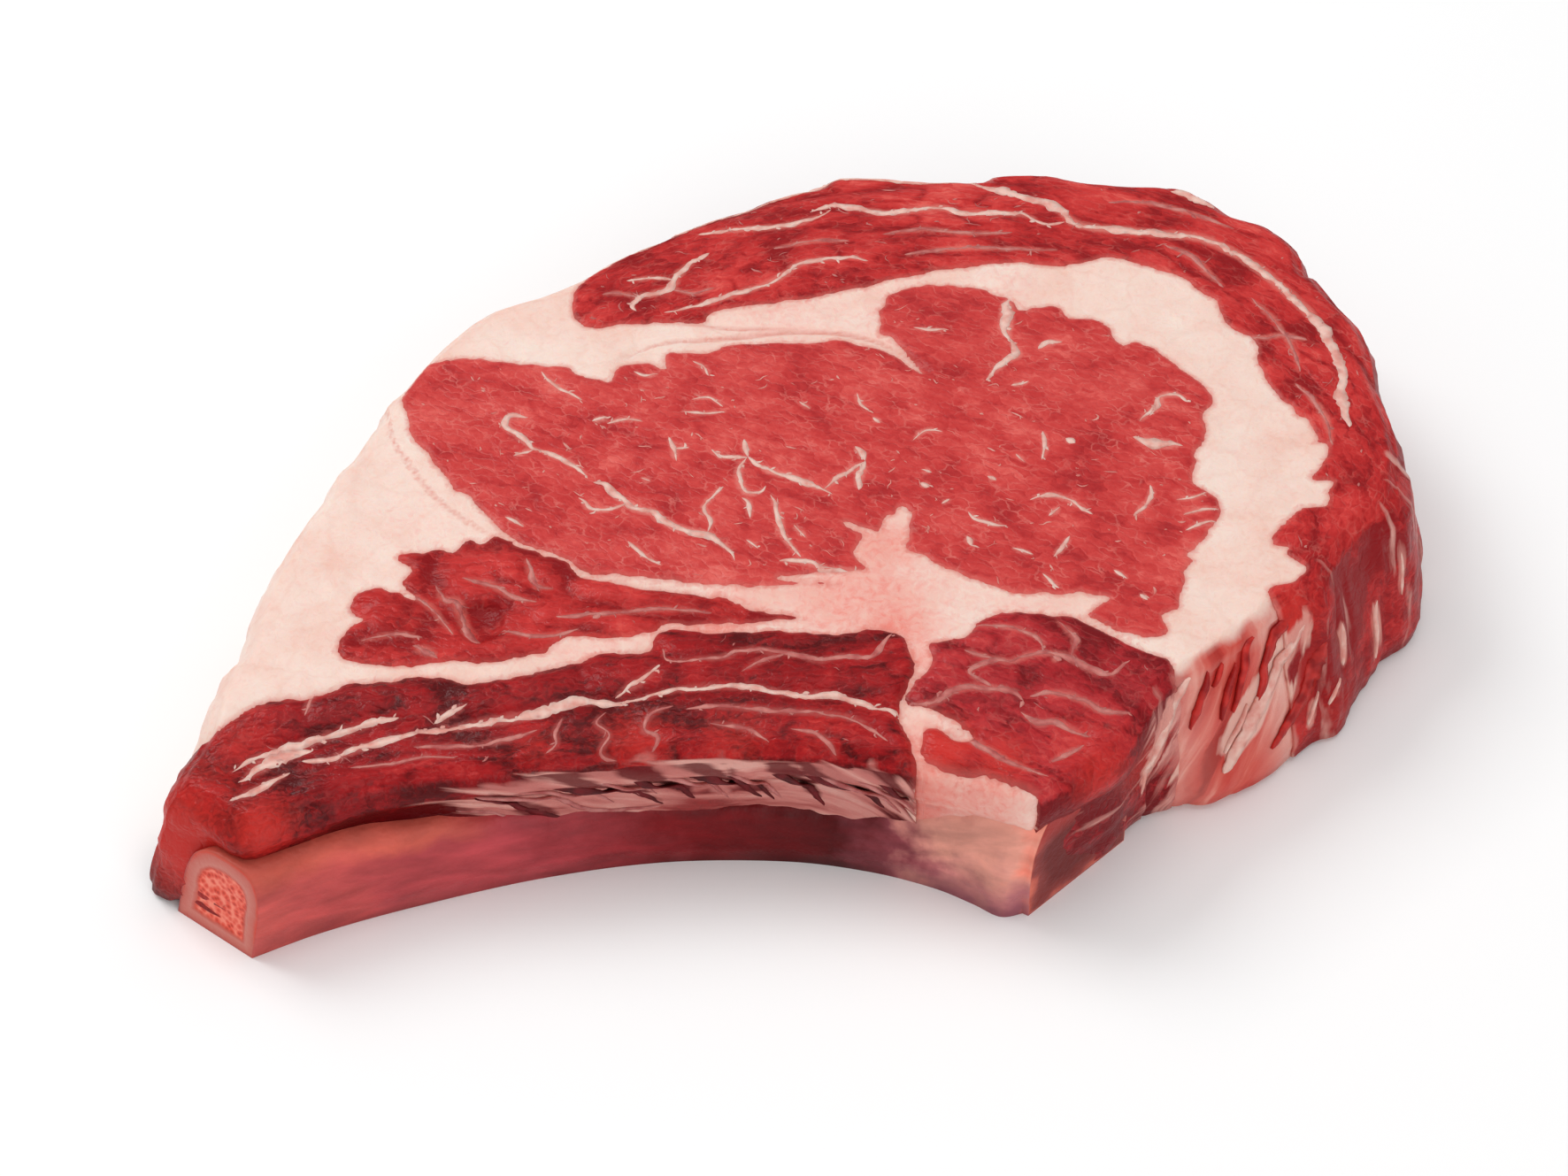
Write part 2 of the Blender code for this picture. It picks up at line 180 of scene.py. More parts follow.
CHINE_BORDER = (
    (64.6, -40), (63.6, -35.5), (60.2, -33.8), (58.4, -32.2), (56.1, -31.1), (53.9, -29.5),
    (50.9, -27.3), (49, -25.9), (44.4, -24.8), (40.2, -24.2), (36.7, -23.9), (34, -25), (31.5, -26.9),
    (30.3, -29), (28.3, -29.8), (24.7, -30.8), (23.5, -31), (24.2, -34.1), (23.8, -35.7), (22.6, -37.8),
    (21.2, -39.4), (19.6, -43.3), (24, -45.4), (28.2, -48.2), (30.4, -50.3), (27.6, -50), (24.6, -48.4),
    (22.2, -49), (21.8, -52), (22.6, -55.2), (25.8, -57), (30.3, -57.8), (34.9, -59.4), (38, -60.8),
    (41, -62.3),
)


def curve_through(rows, steps, closed):
    """Catmull-Rom curve through rows of numbers."""
    rows = np.array(rows, float)
    count = len(rows)
    spans = np.arange(count if closed else count - 1)
    picked = []
    for offset in (-1, 0, 1, 2):
        ids = spans + offset
        picked.append(rows[ids % count if closed else np.clip(ids, 0, count - 1)][:, None])
    a, b, c, d = picked
    t = (np.arange(steps) / steps)[None, :, None]
    curve = 0.5 * (2 * b + (c - a) * t + (2 * a - 5 * b + 4 * c - d) * t ** 2
                   + (3 * b - a - 3 * c + d) * t ** 3)
    curve = curve.reshape(-1, rows.shape[1])
    return curve if closed else np.vstack([curve, rows[-1:]])


def fade(value, low, high):
    """0 at low, 1 at high, with soft ends. Low may be the larger number."""
    t = np.clip((value - low) / (high - low), 0.0, 1.0)
    return t * t * (3 - 2 * t)


# Seeds: the wall has 11 to 16, the face 21 and 22, the borders 31 to 36, the muscles' folds
# 41 to 47, the fat 51, the strands 61 to 63, the rib 71 to 73, all threads 81 to 96.
NOISE_CELLS = 64


def ripple(u, v, size, seed):
    """Smooth seeded noise from -1 to 1, with lumps about one size across."""
    table = np.random.default_rng(seed).uniform(-1, 1, (NOISE_CELLS, NOISE_CELLS))
    grid_u, grid_v = np.asarray(u) / size, np.asarray(v) / size
    low_u, low_v = np.floor(grid_u).astype(int), np.floor(grid_v).astype(int)
    part_u, part_v = fade(grid_u - low_u, 0, 1), fade(grid_v - low_v, 0, 1)
    near, far = (table[low_u % NOISE_CELLS, row % NOISE_CELLS] * (1 - part_u)
                 + table[(low_u + 1) % NOISE_CELLS, row % NOISE_CELLS] * part_u
                 for row in (low_v, low_v + 1))
    return near * (1 - part_v) + far * part_v


def runs_of(line, closed=False):
    """Distance along a line to each of its points, and to its close."""
    ends = np.roll(line, -1, 0) if closed else line[1:]
    starts = line if closed else line[:-1]
    return np.concatenate([[0.0], np.cumsum(np.hypot(*(ends - starts).T))])


def nearest(points, line, closed=False):
    """Distance from each point to a line, and how far along the line that is."""
    ends = np.roll(line, -1, 0) if closed else line[1:]
    starts = line if closed else line[:-1]
    runs = runs_of(line, closed)
    best = np.full(len(points), np.inf)
    along = np.zeros(len(points))
    for start, end, run in zip(starts, ends, runs):
        way = end - start
        length = math.hypot(*way)
        if length < NO_LENGTH:
            continue
        reach = points - start
        share = np.clip((reach @ way) / length ** 2, 0, 1)
        gap = (reach[:, 0] - share * way[0]) ** 2 + (reach[:, 1] - share * way[1]) ** 2
        closer = gap < best
        best[closer] = gap[closer]
        along[closer] = run + share[closer] * length
    return np.sqrt(best), along


def inside(points, line):
    """True where a point is within a closed outline."""
    x, y = points.T
    odd = np.zeros(len(points), bool)
    for (ax, ay), (bx, by) in zip(line, np.roll(line, -1, 0)):
        crosses = (ay > y) != (by > y)
        if crosses.any():
            odd[crosses] ^= x[crosses] < (bx - ax) * (y[crosses] - ay) / (by - ay) + ax
    return odd


def beside_rim(rows, steps):
    """What a table says beside each point of the rim."""
    curve = curve_through(rows, steps, closed=True)
    ids = [np.argmin(np.hypot(*(curve[:, :2] - place).T)) for place in rim_line]
    return curve[ids, 2:]


# ---- the rim as a table by distance along it ----
rim_line = curve_through(RIM, OUTLINE_STEPS, closed=True)
rim_runs = runs_of(rim_line, closed=True)
rim_length = rim_runs[-1]
around = sum(np.roll(rim_line, shift, 0) for shift in range(-3, 4)) / 7
tangent = np.roll(around, -1, 0) - np.roll(around, 1, 0)
tangent /= np.hypot(*tangent.T)[:, None]
foot_rows = beside_rim(FOOT, 8)
foot_rows = sum(np.roll(foot_rows, shift, 0) for shift in range(-2, 3)) / 5
rim_table = np.column_stack([rim_line, -tangent[:, 1], tangent[:, 0], foot_rows,
                             beside_rim(WALL_ZONES, 24)])
# Its columns: place, outward way, spread of the foot, and the last four of WALL_ZONES.
PLACE, OUTWARD, SPREAD = slice(0, 2), slice(2, 4), slice(4, 6)
ROUGH, FILM, CUT_BACK, LEAN = 6, 7, 8, 9
FRONT_START = (22.0, -57.0)     # the wall above the rib's front runs on from here
FRONT_LENGTH = 160
FRONT_RUN = float(nearest(np.array([FRONT_START]), rim_line, True)[1][0])


def rim_at(run):
    """Columns of the rim table at distances along the rim."""
    run = np.mod(run, rim_length)
    closed_table = np.vstack([rim_table, rim_table[:1]])
    return np.column_stack([np.interp(run, rim_runs, column) for column in closed_table.T])


def mound(x, y, crown):
    """A low dome with an oval footprint."""
    height, centre, radii = crown
    reach = ((x - centre[0]) / radii[0]) ** 2 + ((y - centre[1]) / radii[1]) ** 2
    return height * np.maximum(0.0, 1.0 - reach) ** 0.7


def cut_face(x, y):
    """Height of the sawn upper face before any detail, mm."""
    height = THICKNESS + THICKNESS_RISE * x - FRONT_DROOP * fade(y, *DROOP_Y)
    return height + mound(x, y, EYE_CROWN) + mound(x, y, CAP_CROWN)


def wall_grain(run, down):
    """Coordinates along and across the strands of the outer wall, mm."""
    rim = rim_at(run)
    lean = rim[:, LEAN]
    ahead = np.mod(run - FRONT_RUN, rim_length)
    on_front = fade(rim[:, CUT_BACK], 0.1, 0.6)
    slope = 0.25 + 0.5 * fade(ahead, 40, 0)     # the fibres steepen towards the chine
    flat_across = down - slope * np.where(ahead < FRONT_LENGTH, -ahead, 0.0)
    upright_across = run - lean * down
    along = np.where(on_front > 0.5, ahead, down)
    across = np.where(on_front > 0.5, flat_across, upright_across)
    return along, across


def wall_fold(run, down):
    """0 in the clefts between the wall's strands, rising to about 1 on their backs."""
    along, across = wall_grain(run, down)
    across = across + 1.8 * ripple(run, down, 9.0, 14) + 0.7 * ripple(run, down, 3.5, 15)
    return np.abs(ripple(across, along * 0.3, 6.5, 11)) ** 0.6


def wall_swell(run, down):
    """How far the wall stands out from the straight line between rim and foot, mm."""
    rim = rim_at(run)
    along, across = wall_grain(run, down)
    rough, cut_back = rim[:, ROUGH], rim[:, CUT_BACK]
    swell = rough * (1.5 * wall_fold(run, down) - 0.6
                     + 0.35 * ripple(across, along * 0.25, 1.9, 12)
                     + 0.45 * ripple(run, down, 11.0, 13))
    swell *= fade(down, 0.0, 3.5)
    swell -= cut_back * fade(down, 4.0, 11.0)
    swell -= RIM_ROUNDING * fade(down, 3.2, 0.0)
    swell -= FOOT_ROUNDING * fade(down, 27.0, 30.0)
    return swell


# Where the eye's top meets the tongue of fat beside it.
TONGUE_EDGE = (
    (-28, 39.5), (-25.5, 41.5), (-20.2, 43.6), (-10.5, 44.3), (0, 45.6), (8.7, 45.2), (15, 43.3),
    (19.2, 40.7), (22.1, 38.1), (25.4, 33.8),
)
# Creases in the sawn face, where one tissue sinks beside another.
CREASES = (
    # path, half width, depth
    (TONGUE_EDGE, 0.8, 0.6),
    (((-14.3, 49.6), (-10, 47.3), (0, 46.8), (8.6, 46)), 0.9, 0.5),
    (((-89.3, -54.6), (-82, -51), (-76, -49.5), (-66, -47.5), (-57, -46.4), (-45, -45.2), (-35, -42.6),
      (-27, -42.2), (-16, -40.1), (-5.2, -40.1), (4, -41.9), (13, -44), (19, -46)), 1.6, 0.55),
    (((-94.6, -48.5), (-86, -42.6), (-74.6, -40), (-65.9, -37.8), (-52.5, -38.1), (-44.6, -36.9),
      (-33.7, -33.9), (-22.3, -31.6)), 1, 0.4),
    (((-34.4, -14.1), (-24, -17.1), (-14, -19.2), (-6.7, -22.1), (3.7, -24.9)), 0.9, 0.4),
    (((21.5, -31), (22.4, -38.5), (19.4, -44), (20.5, -50), (21.2, -57)), 1.2, 0.6),
    (((64, -41), (63.6, -35.5), (56.1, -31.1), (49.6, -25.7)), 0.8, 0.4),
)


def shared_relief(x, y):
    """Gentle unevenness that every piece of the cut face shares, mm."""
    height = 0.34 * ripple(x, y, 17.0, 21) + 0.16 * ripple(x, y, 6.5, 22)
    points = np.column_stack([x, y])
    for path, half_width, depth in CREASES:
        gap, _ = nearest(points, curve_through(path, PATH_STEPS, closed=False))
        height -= depth * np.exp(-(gap / half_width) ** 2)
    return height


RIM_STEP = 0.9
RAG_STEP = 0.75


def rim_section(start, end, out):
    """The rim from one point clockwise to another, moved outwards."""
    first, last = nearest(np.array([start, end], float), rim_line, True)[1]
    if last < first:
        last += rim_length
    rim = rim_at(np.arange(first, last, RIM_STEP))
    return rim[:, PLACE] + rim[:, OUTWARD] * out


def ragged(line, amount, seed, closed):
    """A line walked in short steps and nudged sideways, as torn tissue is."""
    runs = runs_of(line, closed)
    steps = np.arange(0, runs[-1], RAG_STEP)
    ring = np.vstack([line, line[:1]]) if closed else line
    walked = np.column_stack([np.interp(steps, runs, column) for column in ring.T])
    way = np.gradient(walked, axis=0)
    way /= np.maximum(np.hypot(*way.T), NO_LENGTH)[:, None]
    shift = amount * (0.6 * ripple(steps, steps * 0, 2.1, seed)
                      + 0.4 * ripple(steps, steps * 0, 0.9, seed + 1))
    if not closed:
        shift *= fade(steps, 0, 3) * fade(steps, steps[-1], steps[-1] - 3)
    return walked + np.column_stack([-way[:, 1], way[:, 0]]) * shift[:, None]


def grain_lines(turn):
    """Straight grain, turned anticlockwise from X by some degrees."""
    angle = math.radians(turn)

    def along_across(x, y):
        return (x * math.cos(angle) + y * math.sin(angle),
                y * math.cos(angle) - x * math.sin(angle))
    return along_across


CAP_BEND_CENTRE = (14, -4)
CAP_BEND_STRETCH = 1.15
CAP_BEND_RADIUS = 78.0


def grain_arc(x, y):
    """Grain of the cap, which bends round the eye."""
    east, north = x - CAP_BEND_CENTRE[0], (y - CAP_BEND_CENTRE[1]) * CAP_BEND_STRETCH
    return np.arctan2(north, east) * CAP_BEND_RADIUS, np.hypot(east, north)


def muscle_fold(meat, x, y):
    """0 in the clefts between a muscle's lobes, rising to about 1 on their backs."""
    u, v = meat["grain"](x, y)
    v = v + 1.3 * ripple(x, y, 7.5, meat["seed"] + 2)
    lobes = np.abs(ripple(u * 0.36, v, meat["lobe"], meat["seed"])) ** 0.6
    bundles = np.abs(ripple(u * 0.4, v, meat["lobe"] * 0.42, meat["seed"] + 1)) ** 0.7
    return lobes, bundles


def muscle(name, outline, border, cover, grain, bumps, lobe, seed):
    """Facts that one muscle's mesh, veins and finish share."""
    return {"name": name, "outline": outline, "border": border, "cover": cover,
            "grain": grain, "bumps": bumps, "lobe": lobe, "seed": seed}


def walled(border, seed, amount=0.5):
    """Outline of a muscle that reaches the outer wall, its inner border, and a slightly
    wider outline that takes in points lying exactly on the wall."""
    inner = ragged(curve_through(border, OUTLINE_STEPS, closed=False), amount, seed, closed=False)
    outer = rim_section(border[0], border[-1], WALL_SKIN)
    wider = rim_section(border[0], border[-1], WALL_SKIN + 0.8)
    return np.vstack([inner, outer[::-1]]), inner, np.vstack([inner, wider[::-1]])


def enclosed(outline, seed, amount=0.55):
    """Outline of a muscle with fat all round it. Its border is the whole outline."""
    line = ragged(curve_through(outline, OUTLINE_STEPS, closed=True), amount, seed, closed=True)
    return line, np.vstack([line, line[:1]]), line


eye = muscle("eye_muscle", *enclosed(EYE, 31), grain_lines(-28), (0.22, 0.12),
             9.0, 41)
tail = muscle("tail_muscle", *enclosed(TAIL, 32), grain_lines(-12), (1.3, 0.4),
              8.0, 42)
cap = muscle("cap_muscle", *walled(CAP_BORDER, 33), grain_arc, (0.55, 0.25),
             6.5, 43)
strips = muscle("rib_strip_muscle", *walled(STRIP_BORDER, 34), grain_lines(6),
                (1.15, 0.3), 8.5, 44)
chine = muscle("chine_muscle", *walled(CHINE_BORDER, 35), grain_lines(-30),
               (1.1, 0.4), 8.0, 45)
MUSCLES = (eye, tail, cap, strips, chine)

PITS = (((-50.5, -25), (4.2, 5.0), -1.7), ((-70.5, -21.5), (2.5, 2.0), -0.8),
        ((29, -50), (3.0, 1.4), -0.8))

# ---- the rib, sawn end to chine: foot of its front, foot of its back, height, lean ----
RIB_STATIONS = (
    (-86.5, -72.3, -99.7, -62.4, 19, 4), (-75.5, -67, -83.5, -53.8, 18, 2),
    (-60, -61.4, -65.5, -48, 16.2, 0.6), (-40, -55.6, -43.5, -41.8, 14.4, 0),
    (-20, -52.2, -21.5, -38.2, 13, 0), (0, -52, 0.5, -37.8, 12.6, 0), (14, -54.2, 16.5, -39.6, 14, 0),
    (24.5, -57.6, 28.5, -41.4, 18, 0), (31, -61, 38.5, -42.2, 23, 0),
    (35.6, -63.8, 48.5, -43.2, 25.4, 0), (39.6, -63, 56.4, -46.8, 24, 0),
)
RIB_SQUARENESS = 3.4
RIB_SIDES = 56
RIB_RINGS = 180
RIB_CAP_RINGS = 12
RIB_HEART = 0.42        # height of the marrow's middle, as a share of the rib's
RIB_GIRTH = 8           # scale of the lumps round the rib
RIB_LUMPS = 0.35
RIB_GRAZES = 0.16
MARROW_PITS = 0.28
MARROW_SINK = 0.35
SAWN_SET_BACK = 0.35
CHINE_LEAN = 0.9        # the chine's sawn face leans out this far
CHINE_WAY = np.array((0.72, -0.69))
rib_curve = curve_through(RIB_STATIONS, 12, closed=False)
rib_footprint = np.vstack([rib_curve[:, 0:2], rib_curve[::-1, 2:4]])


def signed_depth(points, line):
    """Distance inside a closed outline, negative outside, and distance along it."""
    gap, run = nearest(points, line, closed=True)
    return np.where(inside(points, line), gap, -gap), run


def border_depth(points, meat):
    """Distance inside a muscle's border with the fat, negative outside."""
    gap, _ = nearest(points, meat["border"])
    return np.where(inside(points, meat["cover"]), gap, -gap)


STRAND_HALO = 3         # a gap is only looked up this near to a strand's own box
TAPER_SHARE = 0.3       # of a strand's length, at each end


def strand_gap(points, rows):
    """Distance from each point to the side of the nearest strand, mm. Strands taper."""
    gap = np.full(len(points), FAR)
    for width, path in rows:
        line = curve_through(path, PATH_STEPS, closed=False)
        length = runs_of(line)[-1]
        close = np.all((points > line.min(0) - STRAND_HALO)
                       & (points < line.max(0) + STRAND_HALO), axis=1)
        if close.any():
            reach, run = nearest(points[close], line)
            ends = np.minimum(run, length - run) / (TAPER_SHARE * length)
            taper = np.sqrt(np.clip(ends, 0, 1))
            gap[close] = np.minimum(gap[close], reach - width * (taper - 0.5))
    return gap


def over_plan(places, skin, meat):
    """What depends on the plan point alone: height of both faces, and where it lies."""
    x, y = places.T
    depth, run = signed_depth(places, rim_line)
    top = cut_face(x, y) + shared_relief(x, y)
    for centre, radii, height in PITS:
        top += mound(x, y, (height, centre, radii))
    top -= RIM_DROP * fade(depth + skin, RIM_REACH, 0.0) ** 1.5
    rib_in, _ = signed_depth(places, rib_footprint)
    sole = SOLE + RIB_SOCKET * fade(rib_in, 0.2, 1.4)
    sole += SOLE_ROUNDING * fade(depth + skin, 2.0, 0.0)
    vein = strand_gap(places, VEIN_PATHS[meat["name"]] if meat else FAT_LINES)
    if meat:
        edge = border_depth(places, meat)
        rise = (MUSCLE_RISE + MUSCLE_DIP) * fade(edge, 0.0, MUSCLE_SHOULDER) - MUSCLE_DIP
        coarse, fine = meat["bumps"]
        lobes, bundles = muscle_fold(meat, x, y)
        bumps = coarse * (lobes - 0.35) + fine * (bundles - 0.3)
        bumps *= fade(edge, 0.3, 2.6) * (0.2 + 0.8 * fade(vein, 0.0, 2.2))
        fold = np.minimum(lobes, bundles * 1.6 + 0.1)
        top += rise + bumps
        sole -= rise
    else:
        edge = np.full(len(places), NOWHERE)
        fold = np.ones(len(places))
        for other in MUSCLES:
            beside = border_depth(places, other)
            edge = np.maximum(edge, beside)
            sink = FAT_SINK * fade(beside, 0.9, 2.4)
            top -= sink
            sole += sink
        top += 0.10 * ripple(x, y, 2.6, 51) * fade(edge, -0.4, -2.0)
    return np.column_stack([depth, run, top, sole, edge, vein, fold])


ON_WALL = 0.01          # the least share of wall that still shows the wall's strands


def settle(plan, share, skin, meat):
    """Drawing millimetres for plan points at a share of the thickness, and the facts
    that the finish needs: border depth, strand coordinates and share of membrane."""
    places, back = np.unique(np.round(plan, 5), axis=0, return_inverse=True)
    columns = over_plan(places, skin, meat)[back.ravel()]
    depth, run, top, sole, edge, vein, fold = columns.T
    rim = rim_at(run)
    down = (1 - share) * THICKNESS
    lean = fade(depth, LEAN_REACH, 0.0) * (1 - share)
    swell = wall_swell(run, down) * fade(depth, SWELL_REACH, 0.0)
    placed = plan + lean[:, None] * rim[:, SPREAD] + swell[:, None] * rim[:, OUTWARD]
    placed = np.column_stack([placed, sole + share * (top - sole)])
    strand = np.column_stack(wall_grain(run, down))
    wall = fade(down, 0.0, 1.8) * fade(depth, 2.0, 1.0)
    spots = np.where(wall[:, None] > ON_WALL, np.column_stack([run, down]), NOWHERE)
    torn = ripple(run, down, 4.0, 16)
    on_rim = np.maximum(wall, fade(depth + torn, 2.4, 0.8) * fade(down, 2.0, 0.5))
    low = on_rim * fade(down + 1.2 * torn, 0.0, 1.6)
    bared = on_rim + (low - on_rim) * fade(rim[:, CUT_BACK], 0.1, 0.6)
    facts = {"edge": edge, "strand": np.column_stack([strand, placed[:, 2]]),
             "film": rim[:, FILM] * bared, "wall": wall, "hem": edge + FAR * (1 - wall),
             "fold": fold + (wall_fold(run, down) - fold) * wall,
             "vein": vein + FAR * wall,
             "pale": np.minimum(strand_gap(spots, WALL_ROWS["pale_wall_bands"]),
                                strand_gap(spots, WALL_ROWS["front_membranes"])),
             "dark": np.minimum(strand_gap(spots, WALL_ROWS["torn_red_folds"]),
                                strand_gap(spots, WALL_ROWS["front_dark_fibres"]))}
    return placed, facts, rim[:, OUTWARD]


def uprights(bm):
    """The edges that run from a form's lower face to its upper face."""
    return [edge for edge in bm.edges
            if abs(edge.verts[0].co.z - edge.verts[1].co.z) > 0.5]


def split_polygons(bm):
    """Turn every face of more than four corners into triangles."""
    bmesh.ops.triangulate(bm, faces=[face for face in bm.faces if len(face.verts) > 4])


def dice(bm, axis, cell):
    """Cut the flat faces along even planes, handing on only what still lies ahead."""
    way = Vector((1, 0, 0)) if axis == 0 else Vector((0, 1, 0))
    places = [corner.co[axis] for corner in bm.verts]
    low, high = min(places), max(places)
    count = max(2, round((high - low) / cell))
    ahead = list(bm.faces)
    for step in range(1, count):
        level = low + (high - low) * step / count
        around_ahead = dict.fromkeys(ahead)
        for face in ahead:
            around_ahead.update(dict.fromkeys(face.edges))
            around_ahead.update(dict.fromkeys(face.verts))
        cut = bmesh.ops.bisect_plane(bm, geom=list(around_ahead), dist=1e-5,
                                     plane_co=way * level, plane_no=way)
        ahead = [piece for piece in cut["geom"] if isinstance(piece, bmesh.types.BMFace)
                 and piece.calc_center_bounds()[axis] > level]


def flat_slab(outline, cell):
    """A closed slab one unit thick, its faces diced and its wall cut into rings."""
    bm = bmesh.new()
    bm.faces.new([bm.verts.new((x, y, 1.0)) for x, y in outline])
    dice(bm, 0, cell)
    dice(bm, 1, cell)
    grown = bmesh.ops.extrude_face_region(bm, geom=list(bm.faces), use_keep_orig=True)
    lower = [item for item in grown["geom"] if isinstance(item, bmesh.types.BMVert)]
    bmesh.ops.translate(bm, verts=lower, vec=(0, 0, -1))
    bmesh.ops.subdivide_edges(bm, edges=uprights(bm), cuts=WALL_RINGS, use_grid_fill=True)
    split_polygons(bm)
    return bm


def to_metres(placed):
    """Drawing millimetres to row-frame metres."""
    return (placed - np.array((*PLAN_CENTRE, 0.0))) * MM


def points_of(mesh):
    """Vertex positions as an array."""
    flat = np.empty(len(mesh.vertices) * 3)
    mesh.vertices.foreach_get("co", flat)
    return flat.reshape(-1, 3)


def add_attribute(mesh, name, values):
    """A number or a vector for each vertex, which the materials read."""
    kind, slot = ("FLOAT", "value") if values.ndim == 1 else ("FLOAT_VECTOR", "vector")
    attribute = mesh.attributes.new(name, kind, "POINT")
    attribute.data.foreach_set(slot, values.astype(np.float32).ravel())


def add_object(name, data):
    """A new object in the scene."""
    item = bpy.data.objects.new(name, data)
    bpy.context.scene.collection.objects.link(item)
    return item


def finish_piece(bm, name, material, placing, replaces=()):
    """Turn a flat bmesh into a placed, smooth, closed piece that rides on the root."""
    mesh = bpy.data.meshes.new(name)
    bm.to_mesh(mesh)
    bm.free()
    placed, attributes = placing(points_of(mesh))
    placed[:, 2] = np.maximum(placed[:, 2], 0.0)
    mesh.vertices.foreach_set("co", to_metres(placed).ravel())
    closed = bmesh.new()
    closed.from_mesh(mesh)
    bmesh.ops.recalc_face_normals(closed, faces=closed.faces)
    closed.to_mesh(mesh)
    closed.free()
    for key, values in attributes.items():
        add_attribute(mesh, key, values)
    mesh.shade_smooth()
    mesh.materials.append(material)
    piece = add_object(name, mesh)
    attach(piece, "root")
    for node in replaces:
        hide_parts(node)


FLUSHES = (
    # where lean stays bright red: centre, radius, strength
    ((-97, -61, 16), 13, 1.1), ((-83, -68, 27), 7, 1.2), ((-99, -52, 12), 9, 0.8),
    ((84, -23, 27), 6, 1), ((51, -56, 27), 7, 0.7), ((60, -46, 18), 8, 0.6), ((97, -26, 6), 9, 0.5),
    ((108, -2, 12), 8, 0.2), ((84, -33, 6), 8, 0.7), ((-88, -50, 29), 7, 0.5), ((-68, -12, 30), 8, 0.3),
    ((50, -54, 29), 9, 0.5), ((-24, -50, 29), 7, 0.6), ((-8, -50, 29), 7, 0.5), ((6, -49, 29), 6, 0.35),
    ((-40, -51, 29), 6, 0.4), ((26, -52, 28), 6, 1.1), ((35, -55, 28), 6, 0.8),
)


def slab_placing(skin, meat):
    """Placing for a slab piece, given as plan x, plan y and share of thickness."""
    def placing(flat):
        placed, facts, outward = settle(flat[:, :2], flat[:, 2], skin, meat)
        if not meat:
            tuck = FAT_TUCK * fade(facts["edge"], 0.4, 1.4) * facts["wall"]
            placed[:, :2] -= outward * tuck[:, None]
        x, y = flat[:, 0], flat[:, 1]
        u, v = meat["grain"](x, y) if meat else (x, y)
        facts["grain"] = np.column_stack([u, v, placed[:, 2]])
        facts["flush"] = np.zeros(len(flat))
        for centre, radius, strength in FLUSHES:
            gap = np.linalg.norm(placed - np.array(centre, float), axis=1)
            patch = strength * np.exp(-(gap / radius) ** 2)
            facts["flush"] = np.maximum(facts["flush"], patch)
        return placed, facts
    return placing


# ---- strands: thin closed ribbons of fat and membrane, laid on a face or a wall ----
STRAND_SIDES = 6
STRAND_STEP = 0.5
STRAND_SINK = 0.55
WALL_TOP = 0.3          # strands on the wall end this far below the rim
WALL_FOOT = 0.4         # and this far above the foot
THREAD_RISE = 0.07      # marbling stands this proud of the sawn face
RIM_CLEARANCE = 1.3     # small threads stop this far from the rim


def add_strand(bm, path, width, rise, rng, rag):
    """One ribbon along a flat path. Its height above the face is kept in z."""
    line = curve_through(path, PATH_STEPS, closed=False)
    runs = runs_of(line)
    length = runs[-1]
    rings = max(2, round(length / STRAND_STEP))
    rod = bmesh.new()
    bmesh.ops.create_cone(rod, cap_ends=True, segments=STRAND_SIDES, radius1=1,
                          radius2=1, depth=1)
    bmesh.ops.subdivide_edges(rod, edges=uprights(rod), cuts=rings)
    rod_points = np.array([corner.co[:] for corner in rod.verts])
    run = (rod_points[:, 2] + 0.5) * length
    x, y = (np.interp(run, runs, column) for column in line.T)
    ways = np.gradient(line, axis=0)
    way_x, way_y = (np.interp(run, runs, column) for column in ways.T)
    size = np.maximum(np.hypot(way_x, way_y), NO_LENGTH)
    tip = min(0.45 * length, 3.0 * width + 0.8)
    taper = np.sqrt(np.clip(np.minimum(run, length - run) / tip, 0, 1))
    phase = rng.uniform(0, 900)
    wobble = 1 + 0.5 * rag * ripple(run + phase, run * 0, 1.6 + width, 61)
    wobble += 0.35 * rag * ripple(run + phase, run * 0, 0.7, 63)
    half = 0.5 * width * taper * wobble + 0.02
    wander = 0.3 * rag * width ** 0.5 * ripple(run + phase, run * 0, 2.2, 62)
    side = rod_points[:, 0] * half + wander
    lift = rod_points[:, 1]
    lift = np.where(lift > 0, lift * rise * (0.3 + 0.7 * taper), lift * STRAND_SINK)
    for corner, place in zip(rod.verts, zip(x - way_y / size * side,
                                            y + way_x / size * side, lift)):
        corner.co = place
    mesh = bpy.data.meshes.new("strand")
    rod.to_mesh(mesh)
    rod.free()
    bm.from_mesh(mesh)
    bpy.data.meshes.remove(mesh)


def face_placing(meat, share):
    """Placing for strands on the upper face (share 1) or the sole (share 0)."""
    def placing(flat):
        placed, *_ = settle(flat[:, :2], np.full(len(flat), share), WALL_SKIN, meat)
        placed[:, 2] += flat[:, 2] * (1 if share else -1)
        return placed, {"grain": flat}
    return placing


def wall_placing(skin):
    """Placing for strands on the outer wall, given as run and depth below the rim."""
    def placing(flat):
        rim = rim_at(flat[:, 0])
        plan = rim[:, PLACE] + rim[:, OUTWARD] * skin
        share = 1 - np.clip(flat[:, 1], WALL_TOP, THICKNESS - WALL_FOOT) / THICKNESS
        placed, *_, outward = settle(plan, share, skin, None)
        placed[:, :2] += outward * flat[:, 2:3]
        return placed, {"grain": flat}
    return placing


def strands_piece(name, rows, placing, material, rise, seed, rag=1.0):
    """All strands of one kind as one piece, their sides more or less ragged."""
    rng = np.random.default_rng(seed)
    bm = bmesh.new()
    for width, path in rows:
        add_strand(bm, path, width, rise, rng, rag)
    finish_piece(bm, name, material, placing)


